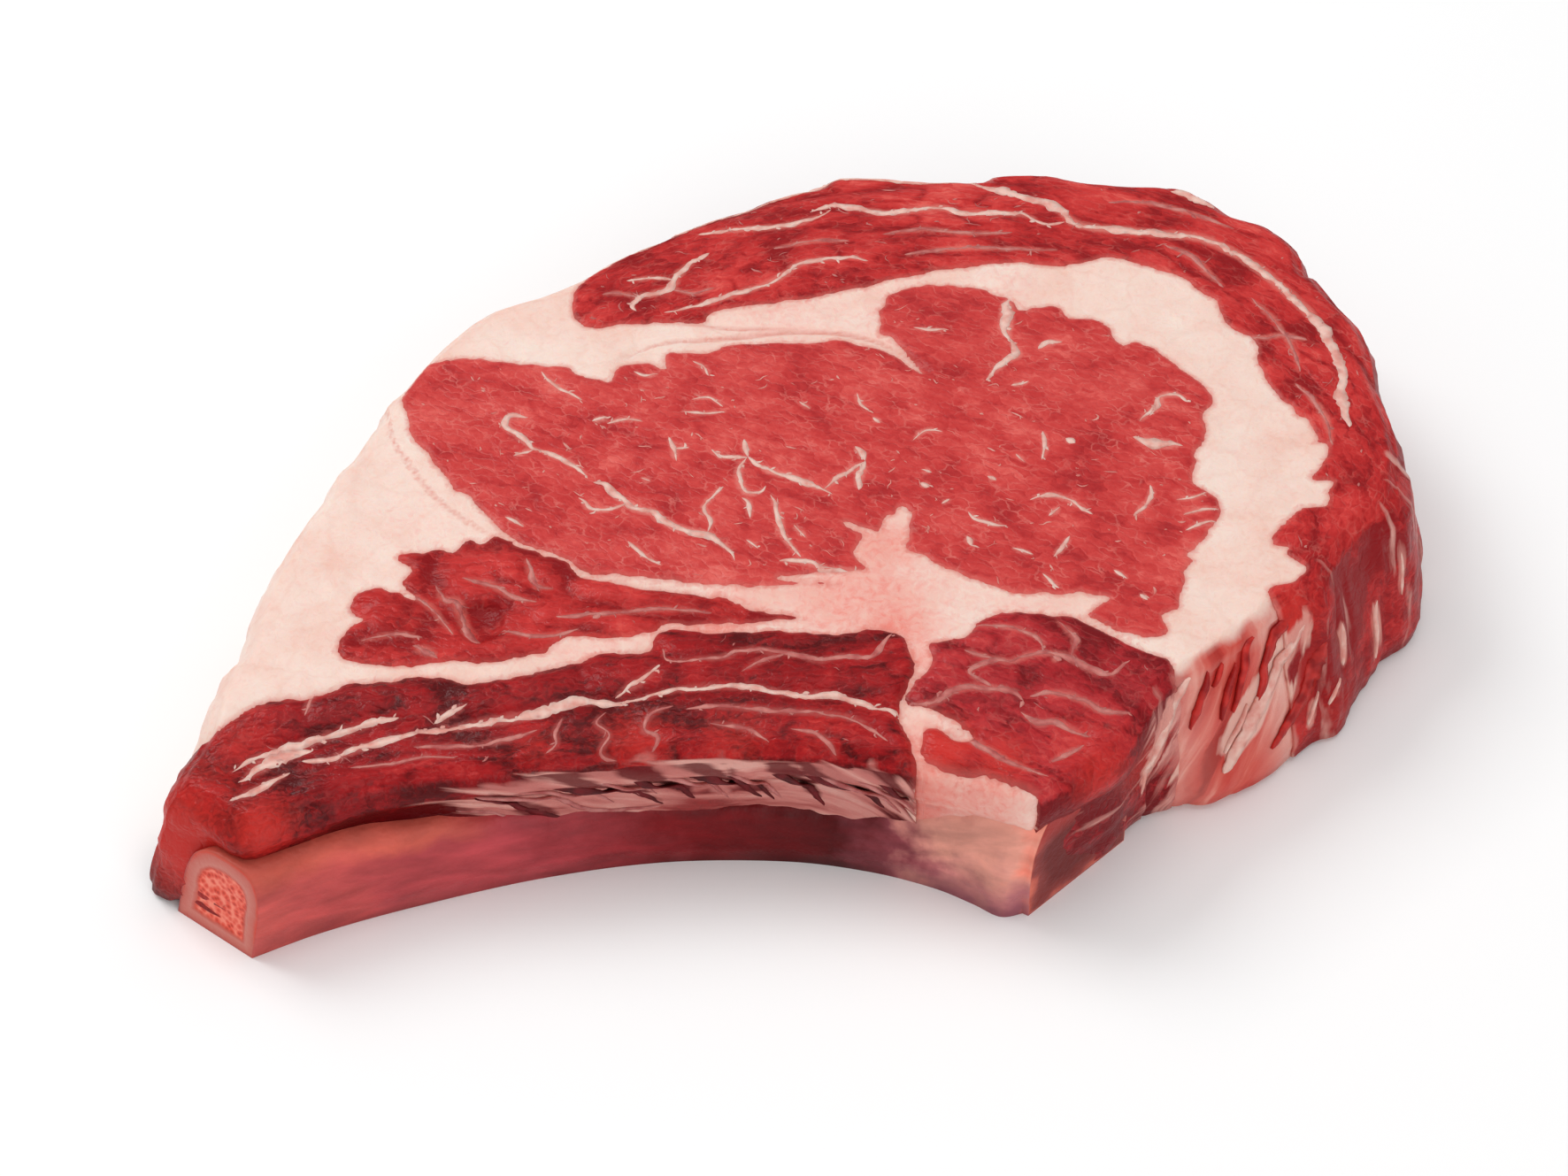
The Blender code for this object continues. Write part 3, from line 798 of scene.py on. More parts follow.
def step_on(place, heading, reach):
    """The plan point some way off on a heading."""
    return (place[0] + reach * math.cos(heading), place[1] + reach * math.sin(heading))


FLECK_MARGIN = 1.5      # flecks keep this far from their muscle's border
FORK_CHANCE = 0.3
BEND = 0.45             # spread of the turns along a fleck, radians


def flecks(meat, count, seed, turn, longest, widest):
    """Small seeded threads of marbling, mostly along the grain, some of them forked."""
    rng = np.random.default_rng(seed)
    low, high = meat["outline"].min(0), meat["outline"].max(0)
    spots = rng.uniform(low, high, (count * 6, 2))
    spots = spots[border_depth(spots, meat) > FLECK_MARGIN][:count]
    rows = []
    for x, y in spots:
        u0, v0 = (float(c) for c in meat["grain"](x, y))
        u1, v1 = (float(c) for c in meat["grain"](x + 1, y))
        heading = math.atan2(-(v1 - v0), u1 - u0) + math.radians(rng.normal(0, turn))
        length = longest * (0.22 + 0.78 * rng.random() ** 2.5)
        width = widest * (0.35 + 0.65 * rng.random() ** 2)
        path = [(x, y)]
        for _ in range(3):
            heading += rng.normal(0, BEND)
            path.append(step_on(path[-1], heading, length / 3))
        rows.append((width, path))
        if rng.random() < FORK_CHANCE:
            fork = heading + rng.choice((-1, 1)) * rng.uniform(0.6, 1.3)
            rows.append((width * 0.8, [path[2], step_on(path[2], fork, length * 0.4)]))
    return rows


def barbs(rows, seed, spacing, longest):
    """Short seeded side threads, which make a vein ragged."""
    rng = np.random.default_rng(seed)
    found = []
    for width, path in rows:
        line = curve_through(path, PATH_STEPS, closed=False)
        runs = runs_of(line)
        for run in np.arange(rng.uniform(0.5, spacing), runs[-1], spacing):
            x, y = (float(np.interp(run, runs, column)) for column in line.T)
            back, ahead = (np.array([np.interp(run + step, runs, column)
                                     for column in line.T]) for step in (-0.4, 0.4))
            heading = math.atan2(*(ahead - back)[::-1])
            heading += rng.choice((-1, 1)) * rng.uniform(0.4, 1.2)
            reach = longest * rng.uniform(0.3, 1.0) * 0.5
            bend = heading + rng.normal(0, 0.5)
            knee = step_on((x, y), heading, reach)
            tip = step_on(knee, bend, reach)
            found.append((min(width, 1.0) * rng.uniform(0.4, 0.75), [(x, y), knee, tip]))
    return found


def clear_of_rim(rows):
    """The strands that both start and end inside the rim."""
    clear = np.ones(len(rows), bool)
    for end in (0, -1):
        spots = np.array([path[end] for _, path in rows], float)
        clear &= signed_depth(spots, rim_line)[0] > RIM_CLEARANCE
    return [row for row, keep in zip(rows, clear) if keep]


EYE_VEINS = (
    (1, ((-44.8, 23.3), (-48, 24), (-48.8, 21.6), (-47, 19.7), (-44.9, 17.4), (-43.7, 15.7),
      (-42.2, 15.2))), (0.7, ((-43.5, 15.4), (-46.9, 13.6))),
    (0.8, ((-43, 15.3), (-39, 13), (-37.4, 11.9), (-35.8, 10.6), (-34, 8.6))),
    (1.3, ((-32.8, 7.1), (-30.7, 6.5), (-29.4, 4.2), (-26.9, 1.7), (-24.8, 0), (-22.3, -0.9),
      (-20.7, -3), (-18.2, -4.8), (-15.7, -5.9), (-12.9, -6.5), (-11.3, -8), (-9.6, -9.5),
      (-8.2, -12.4))), (0.7, ((-26.9, 1.7), (-30.2, 0.3), (-33, 0.6), (-34.2, 2.3), (-35.3, 3.2))),
    (0.7, ((-12.9, -6), (-12.3, -3.4), (-13.6, 0.2), (-10.4, 4.8))), (0.9, ((-6.3, 12), (-6.9, 16.4))),
    (1.1, ((-6.3, 12), (-3.7, 9.5), (-1.2, 8), (1.2, 7.2), (4.1, 5.2), (6.9, 3.8), (8.1, 2.6))),
    (0.8, ((-6.3, 12), (-10.5, 12), (-12.1, 13.4))),
    (0.9, ((-6.3, 12), (-7.5, 9.8), (-7.7, 6.7), (-6.5, 3.3), (-4.3, 3.4), (-3.2, 5))),
    (0.6, ((-7.3, 2), (-6, 0.6), (-5.7, -2.8))), (1, ((12.2, 14.4), (13.4, 12.7), (14, 11))),
    (1.2, ((14, 11), (12.9, 7), (12.8, 4))), (0.7, ((14, 11), (9.8, 7.4), (6.9, 3.8))),
    (0.8, ((-2.2, 2.8), (-0.8, -2.9), (-0.4, -6.3), (1.2, -9.2), (2.8, -12))),
    (0.5, ((1.6, -4.6), (3.6, -7.4))), (0.5, ((-6.3, -7.7), (-4.3, -9.7))),
    (0.9, ((-33.5, 22), (-31, 23))), (0.6, ((-30.9, 21.5), (-27.6, 22.4), (-24.7, 21.6))),
    (0.5, ((-43.1, 35.3), (-40.6, 31.5), (-35.5, 27.2))),
    (0.6, ((-26.5, 35), (-24.8, 33.7), (-22.2, 34.2))),
    (0.6, ((-16.2, 37.6), (-14.5, 36), (-13.2, 33.6))),
    (0.5, ((-16.2, 27), (-13.2, 27.6), (-10.7, 25))),
    (0.5, ((-17.8, 24.2), (-14.5, 23.3), (-10.6, 23.8))),
    (0.7, ((-20, 17.2), (-19.2, 14.5), (-18.7, 11.1))), (0.6, ((-19, 14.2), (-16.5, 14.5))),
    (0.8, ((-12.6, 13.9), (-10.7, 11.7))), (0.5, ((-24.6, 7.5), (-23, 6.6))),
    (0.6, ((-26.4, -7.5), (-23.5, -10.9), (-20.7, -12.8))), (0.5, ((-47.5, -1), (-44.2, -3.3))),
    (0.5, ((2.7, 26), (4.5, 24))), (0.5, ((12.8, 28), (13.4, 25.4), (14.8, 23.5))),
    (0.7, ((15.6, 22), (16.8, 20.6))), (0.6, ((22.3, 16), (24.7, 18.6), (27.5, 18))),
    (0.6, ((23.6, 8.5), (25.4, 8))), (1.1, ((23.4, 5.4), (25, 4.4))), (0.5, ((27, 0), (28.3, 1.2))),
    (0.6, ((31.5, -1.9), (32.6, -3.6), (35.4, -4.8), (37.8, -5.1))),
    (0.8, ((30.9, -7.5), (31.7, -9.8))), (0.6, ((35, 6.8), (36.4, 5.6))), (0.5, ((40, 12), (41.5, 10))),
    (0.6, ((45, 17.5), (45.2, 14), (44.5, 10.5))), (1.1, ((48.8, 15.6), (50.4, 14.4))),
    (0.8, ((41.9, 1), (43.5, 1.8), (46.3, 2), (49.3, 0.3), (52.4, -2.6))),
    (0.7, ((45, -2.9), (47, -0.7))), (0.7, ((48.4, -7.6), (46.7, -10.4), (45.3, -12))),
    (0.5, ((38.5, -10.2), (42, -11.5))), (0.6, ((43.3, -15.8), (46, -19))),
    (0.6, ((55.4, -15), (57.6, -17))), (0.6, ((59.4, -20.6), (60.6, -22))),
    (0.7, ((62.8, 4.5), (62.6, 1.6), (59.5, -3))),
    (1.9, ((60.4, 15.8), (63.4, 14.8), (65.9, 14.4), (69, 13.8))),
    (0.9, ((63.6, 21.5), (65.4, 23.8), (66, 26.5), (69, 27.2), (70.9, 25.3))),
    (0.6, ((62, 19.8), (65.2, 24.5))),
    (2.1, ((41.6, 54.5), (40.3, 52), (40, 48), (39.7, 44), (40.6, 41.4))),
    (1.1, ((40.2, 42.6), (41.5, 38.3), (39.6, 36.6), (37, 33.5), (35.7, 31))),
    (1, ((45.3, 39.6), (47, 41.3), (49.6, 41.8))), (0.7, ((23.2, 45.6), (26, 45), (29.5, 44.9))),
    (0.8, ((40, 29.6), (43.2, 30.7))),
    (0.9, ((-0.8, -12.7), (2.4, -12.8), (5, -13.5), (7.2, -14.7), (13.2, -14.8))),
    (0.5, ((68, -6), (71, -4.4), (73.6, -4))), (0.5, ((68, -2.6), (71.4, -1), (74, -1))),
    (0.5, ((67, 1), (70, 1.6), (72.4, 3))),
)
CAP_BANDS = (
    (1.9, ((33.5, 87.8), (39, 83.8), (46.4, 79.7), (50.6, 77), (54.6, 72.5), (65.3, 70.3), (74.8, 68.8),
      (81.2, 64.9), (86.6, 59.5), (91.4, 52.5), (96, 44.4), (98.2, 35), (98.4, 30), (97.9, 26),
      (98.3, 18.6))),
    (1.4, ((4.8, 77.3), (8.9, 79), (14.2, 77.9), (19.9, 76.7), (28.6, 78.4), (33, 76.6), (43.9, 75.7),
      (47.7, 73), (52, 73.6))), (1.2, ((-16, 72.5), (-9, 73), (0, 73.7), (5, 75.3), (8.8, 78))),
    (1.1, ((-21.6, 51), (-13.7, 53.6), (-7, 56.8), (-3, 58.5), (0.6, 61), (3.2, 63.3), (11, 64.2),
      (15.4, 63.5))),
    (1.3, ((-13.7, 67.2), (-17, 64.6), (-19.3, 61.5), (-20.6, 57.7), (-23.4, 56.2), (-26.2, 55.2),
      (-27.4, 53.2), (-26.6, 51.3))), (0.8, ((-19.8, 60), (-24, 60.6), (-28.6, 59.4))),
    (0.7, ((-20.4, 57.4), (-16, 56.2), (-12.6, 57.4))), (0.7, ((-26, 55), (-30.4, 56.4), (-33, 55.8))),
    (0.9, ((69.4, 66.6), (74.4, 63.3), (76.6, 59.5), (79.7, 55.4))),
    (0.8, ((83, 42.5), (86, 42), (89, 42.5), (93.2, 41))),
    (0.8, ((90, 30), (92.4, 26), (94.4, 21), (94.8, 14))),
    (0.8, ((60, 79), (68, 78.4), (76, 74.8), (82.6, 70.4))),
    (0.7, ((18, 70.6), (26, 71.6), (34, 70.2), (42, 70.6))),
    (0.7, ((22, 64.8), (30, 66), (40, 66.2), (50, 65.6))), (0.7, ((-2, 67.6), (6, 69.2), (12, 68.8))),
    (0.7, ((84, 52), (88, 46), (90.6, 38), (91, 33))),
)
TAIL_LINES = (
    (1.5, ((-58.6, -16.4), (-57, -19.7), (-55, -20), (-53.6, -23.6), (-52.2, -27.4), (-50.1, -29.8))),
    (0.8, ((-54.3, -15), (-49.5, -16.4), (-45.3, -19.5), (-41.3, -20.7))),
    (0.8, ((-43.6, -10.7), (-42.7, -13.7), (-41.4, -17), (-38.6, -17.7))),
    (0.8, ((-63.2, -18), (-59.5, -20.8), (-57, -24.5), (-54.8, -27.9))),
    (1.8, ((-61.6, -30.4), (-59, -31.6), (-57, -33.2))), (1.2, ((-32, -24.4), (-30.6, -23.2))),
    (0.7, ((-38, -24), (-30, -23.6), (-20, -22.6), (-12, -23.6))),
    (0.6, ((-47, -27), (-40, -28.4), (-34, -26.8))), (0.6, ((-70, -29), (-64, -27.6), (-60, -28.4))),
)
STRIP_LINES = (
    (1.1, ((-89.3, -54.6), (-86.4, -52.4), (-81.9, -50.8), (-77.4, -49.2), (-73.3, -47.9),
      (-69.9, -46.9), (-66.5, -45.9), (-62.7, -45))),
    (2.6, ((-87.6, -57.6), (-84.4, -53.8), (-80.4, -51.6), (-76.4, -51.2))),
    (1.3, ((-78, -53), (-73, -52.7), (-69.7, -51), (-66.3, -49.7), (-62.5, -48.5), (-58.6, -47.4))),
    (1.7, ((-60.4, -48), (-56, -47.2), (-50, -46.4), (-44.5, -45.4), (-39.9, -44.4), (-36.6, -43),
      (-33.4, -42.3), (-29.4, -42.4), (-26, -42.8))),
    (1, ((-28, -42.6), (-22.8, -41.8), (-19.8, -40.8), (-16, -40.1), (-10.2, -39.8), (-5.2, -40.1),
      (-2.5, -40.8), (0, -41.5), (4, -41.9), (7.8, -42), (10.5, -42.8), (12.9, -44), (17, -45),
      (20, -46.2))), (1, ((-57, -46), (-53.5, -43.8), (-51.6, -42.8))),
    (1.2, ((-27.7, -41.4), (-25.4, -39.9), (-23.5, -38.7), (-20.2, -35.2))),
    (1.2, ((-79.6, -55.4), (-82.2, -57.2), (-85.1, -59.3), (-89, -62))),
    (0.9, ((-20.1, -31.5), (-19.4, -34), (-15.9, -34.4), (-10.1, -33.9), (-7.8, -32.7), (-4.3, -32.2),
      (0, -33), (4, -34.3), (6.3, -34.9), (9.5, -34.1), (13.8, -34.4), (15.3, -33.4), (16.5, -31.3),
      (18, -29.3))), (0.8, ((-7, -37.2), (-4.3, -35.3), (0, -33.2))),
    (0.7, ((-76.6, -40), (-77.6, -42.4), (-78, -44.7))),
    (0.7, ((-60, -50.4), (-52, -50.6), (-45, -49.6), (-40, -47.8))),
    (0.5, ((-36, -45.6), (-37.2, -48), (-36.8, -50.4), (-38.4, -53))),
    (0.6, ((-29, -44.4), (-30.6, -46.6), (-28.4, -48.8), (-29.6, -52.6), (-27, -53.6))),
    (0.7, ((-18, -43.6), (-21.6, -45), (-22.8, -48.2), (-20.4, -49.6), (-21.4, -52.6))),
    (0.7, ((-16, -44.4), (-9, -44), (-1, -45.2), (6, -45.6), (12, -47.4), (16.8, -51.6))),
    (0.6, ((-12, -47), (-6, -48.4), (-2.6, -51.6))), (0.7, ((1, -48.6), (5.6, -50.2), (8.4, -54))),
    (0.6, ((-70, -54.6), (-64, -54.2), (-58, -52.8), (-53, -53.4))),
)
CHINE_LINES = (
    (0.8, ((31.5, -27.5), (36.1, -28), (39.6, -29.1), (42.3, -31.3), (42.8, -34))),
    (0.8, ((45.2, -27), (47.1, -29.2), (48, -31.3), (47.3, -35))),
    (1, ((33.7, -41), (30.3, -38), (34.6, -35.4), (37.3, -35.8), (40.8, -34.4), (44.3, -34.2),
      (46.6, -35), (48.6, -36.7), (50.5, -38), (53.6, -38.9), (55.8, -36.2))),
    (0.8, ((29.7, -32.9), (34.6, -35.4))), (1.5, ((44, -35), (45.4, -36))),
    (1, ((19.8, -43.7), (24, -44), (27.1, -42), (30.2, -41), (33.3, -41.3), (37.2, -41.8),
      (38.9, -43.8))),
    (0.9, ((39.9, -42.9), (43.4, -42.4), (46.5, -43), (49.5, -44.6), (51.8, -46), (56.7, -46.6))),
    (0.8, ((38.4, -45.9), (41, -48), (44, -47.8), (46.3, -49.2), (49.4, -50.8))),
    (1, ((25.5, -46.5), (28.9, -49.8), (31.9, -52.4), (36.4, -55.5), (39.7, -57.6), (42.7, -59.2))),
    (0.8, ((42.6, -55.8), (46.2, -53.5), (48.5, -52.4))),
)


# ---- strands torn loose on the outer wall ----
# Each path is given where it would cross the plane of the upper face for somebody
# looking from the camera, and slides down that line of sight to the wall.
RED_FOLDS = (
    (1.3, ((77, -27.5), (75, -36), (72, -48))), (1, ((73.6, -36), (71.6, -43), (70, -50))),
    (2.3, ((84, -23.5), (82.6, -26.7), (80.3, -30), (78.5, -36), (77.4, -41.2), (75.8, -45.4))),
    (1.2, ((69, -38), (67, -45), (64.6, -52))), (0.9, ((71.4, -36), (69.4, -42))),
    (4.2, ((88.6, -31), (85.6, -39.5), (81.4, -49), (77.4, -56))),
)
PALE_BANDS = (
    (3.2, ((66, -37), (64.4, -41.6), (62, -47), (58.4, -58), (56, -66))),
    (6.4, ((87.5, -21.8), (82.4, -33.9), (77.1, -45.4), (72.1, -55.4), (69.4, -61))),
    (1.5, ((91.6, -27), (91.4, -33), (90.8, -38.2))), (1.8, ((98, -22.8), (97, -30), (96, -37.4))),
    (0.9, ((86.5, -43.5), (85.4, -47), (84, -51.3))), (0.9, ((90, -41), (88.8, -44), (87.4, -46.8))),
    (1.1, ((103.4, -8), (103, -15), (102.2, -22))), (1, ((74.4, -46), (72.8, -51), (70, -57))),
)
FRONT_FIBRES = (
    (3.4, ((-49, -56.4), (-44.3, -57.8), (-34, -59.8), (-22, -63.4))),
    (3, ((-49.4, -62), (-45.4, -63.4), (-41, -65.6), (-34.5, -68.2))),
    (2.2, ((-54, -67.6), (-50, -68.2), (-47, -68.9), (-42, -69.6))),
    (3.6, ((-35, -54), (-30, -55.8), (-23, -58.8), (-14, -64))),
    (3.8, ((-24, -53.4), (-19.5, -55), (-12, -58.6), (-3.5, -64))),
    (3.6, ((-8, -53.4), (-3.7, -55.6), (1, -59.6), (6.4, -66.2))),
    (3.2, ((-2, -54.4), (2, -56.6), (9, -61.4), (16.2, -66.6))),
    (2.6, ((9, -55.4), (13, -57.8), (17, -61.6), (20, -64.8))),
    (2, ((-40, -57.6), (-30, -61), (-19, -65))), (2, ((-14, -55.2), (-8, -58.4), (-1.6, -64.6))),
)
FRONT_MEMBRANES = (
    (2, ((-49.5, -61.8), (-40.2, -62.6), (-30.6, -66), (-19.3, -65.4))),
    (1.6, ((-37, -55.6), (-28.6, -58.6), (-20.2, -62.6))),
    (1.8, ((-21.4, -56.2), (-15, -59.6), (-8.8, -63.9))),
    (1.7, ((-12.3, -55.4), (-6, -59.4), (-0.5, -64.2))),
    (1.7, ((3.1, -56.2), (11, -61.6), (18.6, -67.6))), (1.5, ((10, -57.2), (16, -62.6), (20.8, -67.4))),
    (1.3, ((-52, -65.6), (-46, -66.4), (-38, -69.4), (-30, -68))),
    (1.1, ((-44, -60.2), (-36, -61), (-27, -64.2))),
)
# Sheaths that show in the fat: beside the fat tongue, under it, and along the eye.
FAT_LINES = (
    (0.9, TONGUE_EDGE),
    (0.5, ((-20, 48.5), (-10, 47.3), (0, 46.6), (8.6, 46))),
    (0.4, ((-71, 29), (-68.6, 20), (-64, 11), (-58.6, 2.6), (-52, -3.4), (-46, -8))),
)
FOCUS_PLAN = np.array((0.0, 0.0, 15.0))
CAMERA_DISTANCE_MM = 643.7
CAMERA_RISE = math.radians(46.0)
SIGHT_REACH = 46.0
SIGHT_STEP = 0.5
SIGHT_FROM = FOCUS_PLAN + CAMERA_DISTANCE_MM * np.array(
    (0, -math.cos(CAMERA_RISE), math.sin(CAMERA_RISE)))


def slide_to_wall(rows):
    """The same strands as run along the rim and depth below it, where each line of
    sight meets the wall."""
    spots = np.array([spot for _, path in rows for spot in path], float)
    starts = np.column_stack([spots, THICKNESS + THICKNESS_RISE * spots[:, 0]])
    rim_height = cut_face(*spots.T) - RIM_DROP
    ways = starts - SIGHT_FROM
    ways /= np.linalg.norm(ways, axis=1)[:, None]
    steps = np.arange(0.0, SIGHT_REACH, SIGHT_STEP)
    walked = (starts[None] + ways[None] * steps[:, None, None]).reshape(-1, 3)
    share = np.clip(walked[:, 2] / np.tile(rim_height, len(steps)), 0, 1)
    _, run = nearest(walked[:, :2], rim_line, True)
    lean = rim_at(run)[:, SPREAD] * (1 - share)[:, None]
    depth, run = signed_depth(walked[:, :2] - lean, rim_line)
    depth += wall_swell(run, (1 - share) * THICKNESS)
    met = ((depth > 0) | (share <= 0)).reshape(len(steps), -1).argmax(axis=0)
    ids = met * len(spots) + np.arange(len(spots))
    found = list(zip(run[ids].tolist(), ((1 - share[ids]) * THICKNESS).tolist()))
    slid = []
    for width, path in rows:
        slid.append((width, found[:len(path)]))
        found = found[len(path):]
    return slid


WALL_ROWS = {"torn_red_folds": slide_to_wall(RED_FOLDS),
             "pale_wall_bands": slide_to_wall(PALE_BANDS),
             "front_dark_fibres": slide_to_wall(FRONT_FIBRES),
             "front_membranes": slide_to_wall(FRONT_MEMBRANES)}


def linear(hex_colour):
    """sRGB hex to a linear colour with alpha."""
    channels = [int(hex_colour[i:i + 2], 16) / 255 for i in (1, 3, 5)]
    return (*[c / 12.92 if c <= 0.04045 else ((c + 0.055) / 1.055) ** 2.4
              for c in channels], 1.0)


def fill(tree, item, values):
    """Fill a node's sockets with values, hex colours or links."""
    for key, value in values.items():
        if isinstance(value, bpy.types.NodeSocket):
            tree.links.new(value, item.inputs[key])
        else:
            plain = linear(value) if isinstance(value, str) else value
            item.inputs[key].default_value = plain


def add_node(tree, kind, inputs=(), out=0, stops=(), **settings):
    """Add a node with its settings, its inputs in order or by name, and the stops of its
    colour ramp. Hands on the socket that it puts out."""
    item = tree.nodes.new("ShaderNode" + kind)
    for key, value in settings.items():
        setattr(item, key, value)
    for position, colour in stops:
        item.color_ramp.elements.new(position).color = linear(colour)
    if stops:
        item.color_ramp.elements.remove(item.color_ramp.elements[0])
        item.color_ramp.elements.remove(item.color_ramp.elements[-1])
    fill(tree, item, inputs if isinstance(inputs, dict) else dict(enumerate(inputs)))
    return item.outputs[out]


def new_material(name):
    """An empty node material, and the function that adds nodes to it."""
    material = bpy.data.materials.new(name)
    material.use_nodes = True
    return material, partial(add_node, material.node_tree)


def set_shader(material, **values):
    """Constant values and links on the shader's own sockets."""
    tree = material.node_tree
    named = {key.replace("_", " "): value for key, value in values.items()}
    fill(tree, tree.nodes["Principled BSDF"], named)
    return material


def lay_over(node, base, colour, ramp):
    """Lay a colour over the base: ramp is a level, its low and high ends, and how much
    of the colour shows at each of them."""
    return node("Mix", {0: node("MapRange", ramp), 6: base, 7: colour}, 2,
                data_type="RGBA")


def lay_band(node, base, colour, fact, noise, ragged_mm):
    """Lay a colour over the base near strands, whose distance an attribute gives."""
    gap = node("Attribute", out="Fac", attribute_name=fact)
    level = node("Math", (noise, ragged_mm, gap), operation="MULTIPLY_ADD")
    middle = 0.5 * ragged_mm
    return lay_over(node, base, colour, (level, middle - 0.35, middle + 0.6, 0.85, 0.0))


SHADE_STOPS = (0.46, 0.64, 0.80, 0.94)
FILM_SHADES = ((0.34, "#9C4542"), (0.5, "#C67A72"), (0.66, "#D89E93"))


def muscle_material(name, shades, line_colour, band_colours, cell_mm, wet, cleft_shade,
                    lines_show):
    """Raw beef muscle, sawn across its fibres: bundles a millimetre or two wide with
    paler sheaths between them, a wet gloss, and light that goes a little way in."""
    material, node = new_material(name)
    grain, strand = (node("Attribute", out="Vector", attribute_name=fact)
                     for fact in ("grain", "strand"))
    edge, film, wall, fold, flush = (
        node("Attribute", out="Fac", attribute_name=fact)
        for fact in ("edge", "film", "wall", "fold", "flush"))
    warp = node("TexNoise", {"Vector": grain, "Scale": 0.45, "Detail": 3.0}, "Color")
    warped = node("VectorMath", (warp, (2.6, 2.6, 2.6), grain), operation="MULTIPLY_ADD")
    cells = {"Vector": node("Mapping", {"Vector": warped, "Scale": (0.42, 1.0, 0.7)}),
             "Scale": 1.0 / cell_mm}
    sheath = node("TexVoronoi", cells, feature="DISTANCE_TO_EDGE")
    bundle = node("SeparateColor", (node("TexVoronoi", cells, "Color"),))
    drawn_out = node("Mapping", {"Vector": warped, "Scale": (0.5, 1.0, 1.0)})
    fine = node("TexNoise", {"Vector": drawn_out, "Scale": 1.5, "Detail": 4.0})
    broad = node("TexNoise", {"Vector": grain, "Scale": 0.13, "Detail": 3.0})
    patches = node("TexNoise", {"Vector": grain, "Scale": 0.32, "Detail": 2.0})
    streaks = node("TexNoise", {
        "Vector": node("Mapping", {"Vector": strand, "Scale": (0.045, 0.28, 0.0)}),
        "Scale": 1.0, "Detail": 4.0, "Distortion": 0.4})
    tone = 0.13
    for part, weight in ((fine, 0.38), (broad, 0.62), (bundle, 0.14), (wall, -0.22)):
        tone = node("Math", (part, weight, tone), operation="MULTIPLY_ADD")
    # painted shade: the tone drops in the clefts between lobes and bundles, and between the wall's
    # strands
    cleft = node("MapRange", (fold, 0.12, 0.75, -cleft_shade, 0.06))
    tone = node("Math", (tone, cleft), operation="ADD")
    body = node("ValToRGB", (tone,), stops=list(zip(SHADE_STOPS, shades)))
    # blood-bright patches
    level = node("Math", (fine, 0.7, flush), operation="MULTIPLY_ADD")
    body = lay_over(node, body, "#CB3029", (level, 0.5, 1.25, 0.0, 0.85))
    # sheaths between the bundles, in patches, and not on the torn wall
    show = node("MapRange", (patches, 0.42, 0.68, 0.0, lines_show))
    off_wall = node("Math", (1.0, wall), operation="SUBTRACT")
    show = node("Math", (off_wall, show), operation="MULTIPLY")
    line = node("MapRange", (sheath, 0.0, 0.085, 1.0, 0.0))
    show = node("Math", (line, show), operation="MULTIPLY")
    body = node("Mix", {0: show, 6: body, 7: line_colour}, 2, data_type="RGBA")
    # membrane left on the wall
    level = node("Math", (film, 0.30, streaks), operation="MULTIPLY_ADD")
    ends = (node("MapRange", (level, 0.66, 0.80)), node("MapRange", (film, 0.0, 0.12)))
    show = node("Math", ends, operation="MULTIPLY")
    membrane_tone = node("ValToRGB", (streaks,), stops=FILM_SHADES)
    body = node("Mix", {0: show, 6: body, 7: membrane_tone}, 2, data_type="RGBA")
    body = lay_over(node, body, line_colour, (edge, 0.1, 1.1, 0.45, 0.0))
    for fact, noise, ragged_mm, colour in (
            ("vein", fine, 1.4, line_colour), ("hem", streaks, 16.0, "#E8B8A9"),
            ("dark", streaks, 6.0, band_colours[0]), ("pale", streaks, 6.0, band_colours[1])):
        body = lay_band(node, body, colour, fact, noise, ragged_mm)
    gloss = node("MapRange", (patches, 0.35, 0.7, wet, wet + 0.2))
    ridge = node("MapRange", (sheath, 0.0, 0.22))
    relief = node("Math", (fine, 1.1, ridge), operation="MULTIPLY_ADD")
    bump = node("Bump", {"Height": relief, "Strength": 0.36, "Distance": 0.00022})
    return set_shader(
        material, Base_Color=body, Roughness=gloss, Normal=bump, Coat_Normal=bump,
        Subsurface_Weight=0.08, Subsurface_Radius=(1.0, 0.2, 0.14), Subsurface_Scale=0.0015,
        Specular_IOR_Level=0.13, Coat_Weight=0.12, Coat_Roughness=0.1, IOR=1.38)


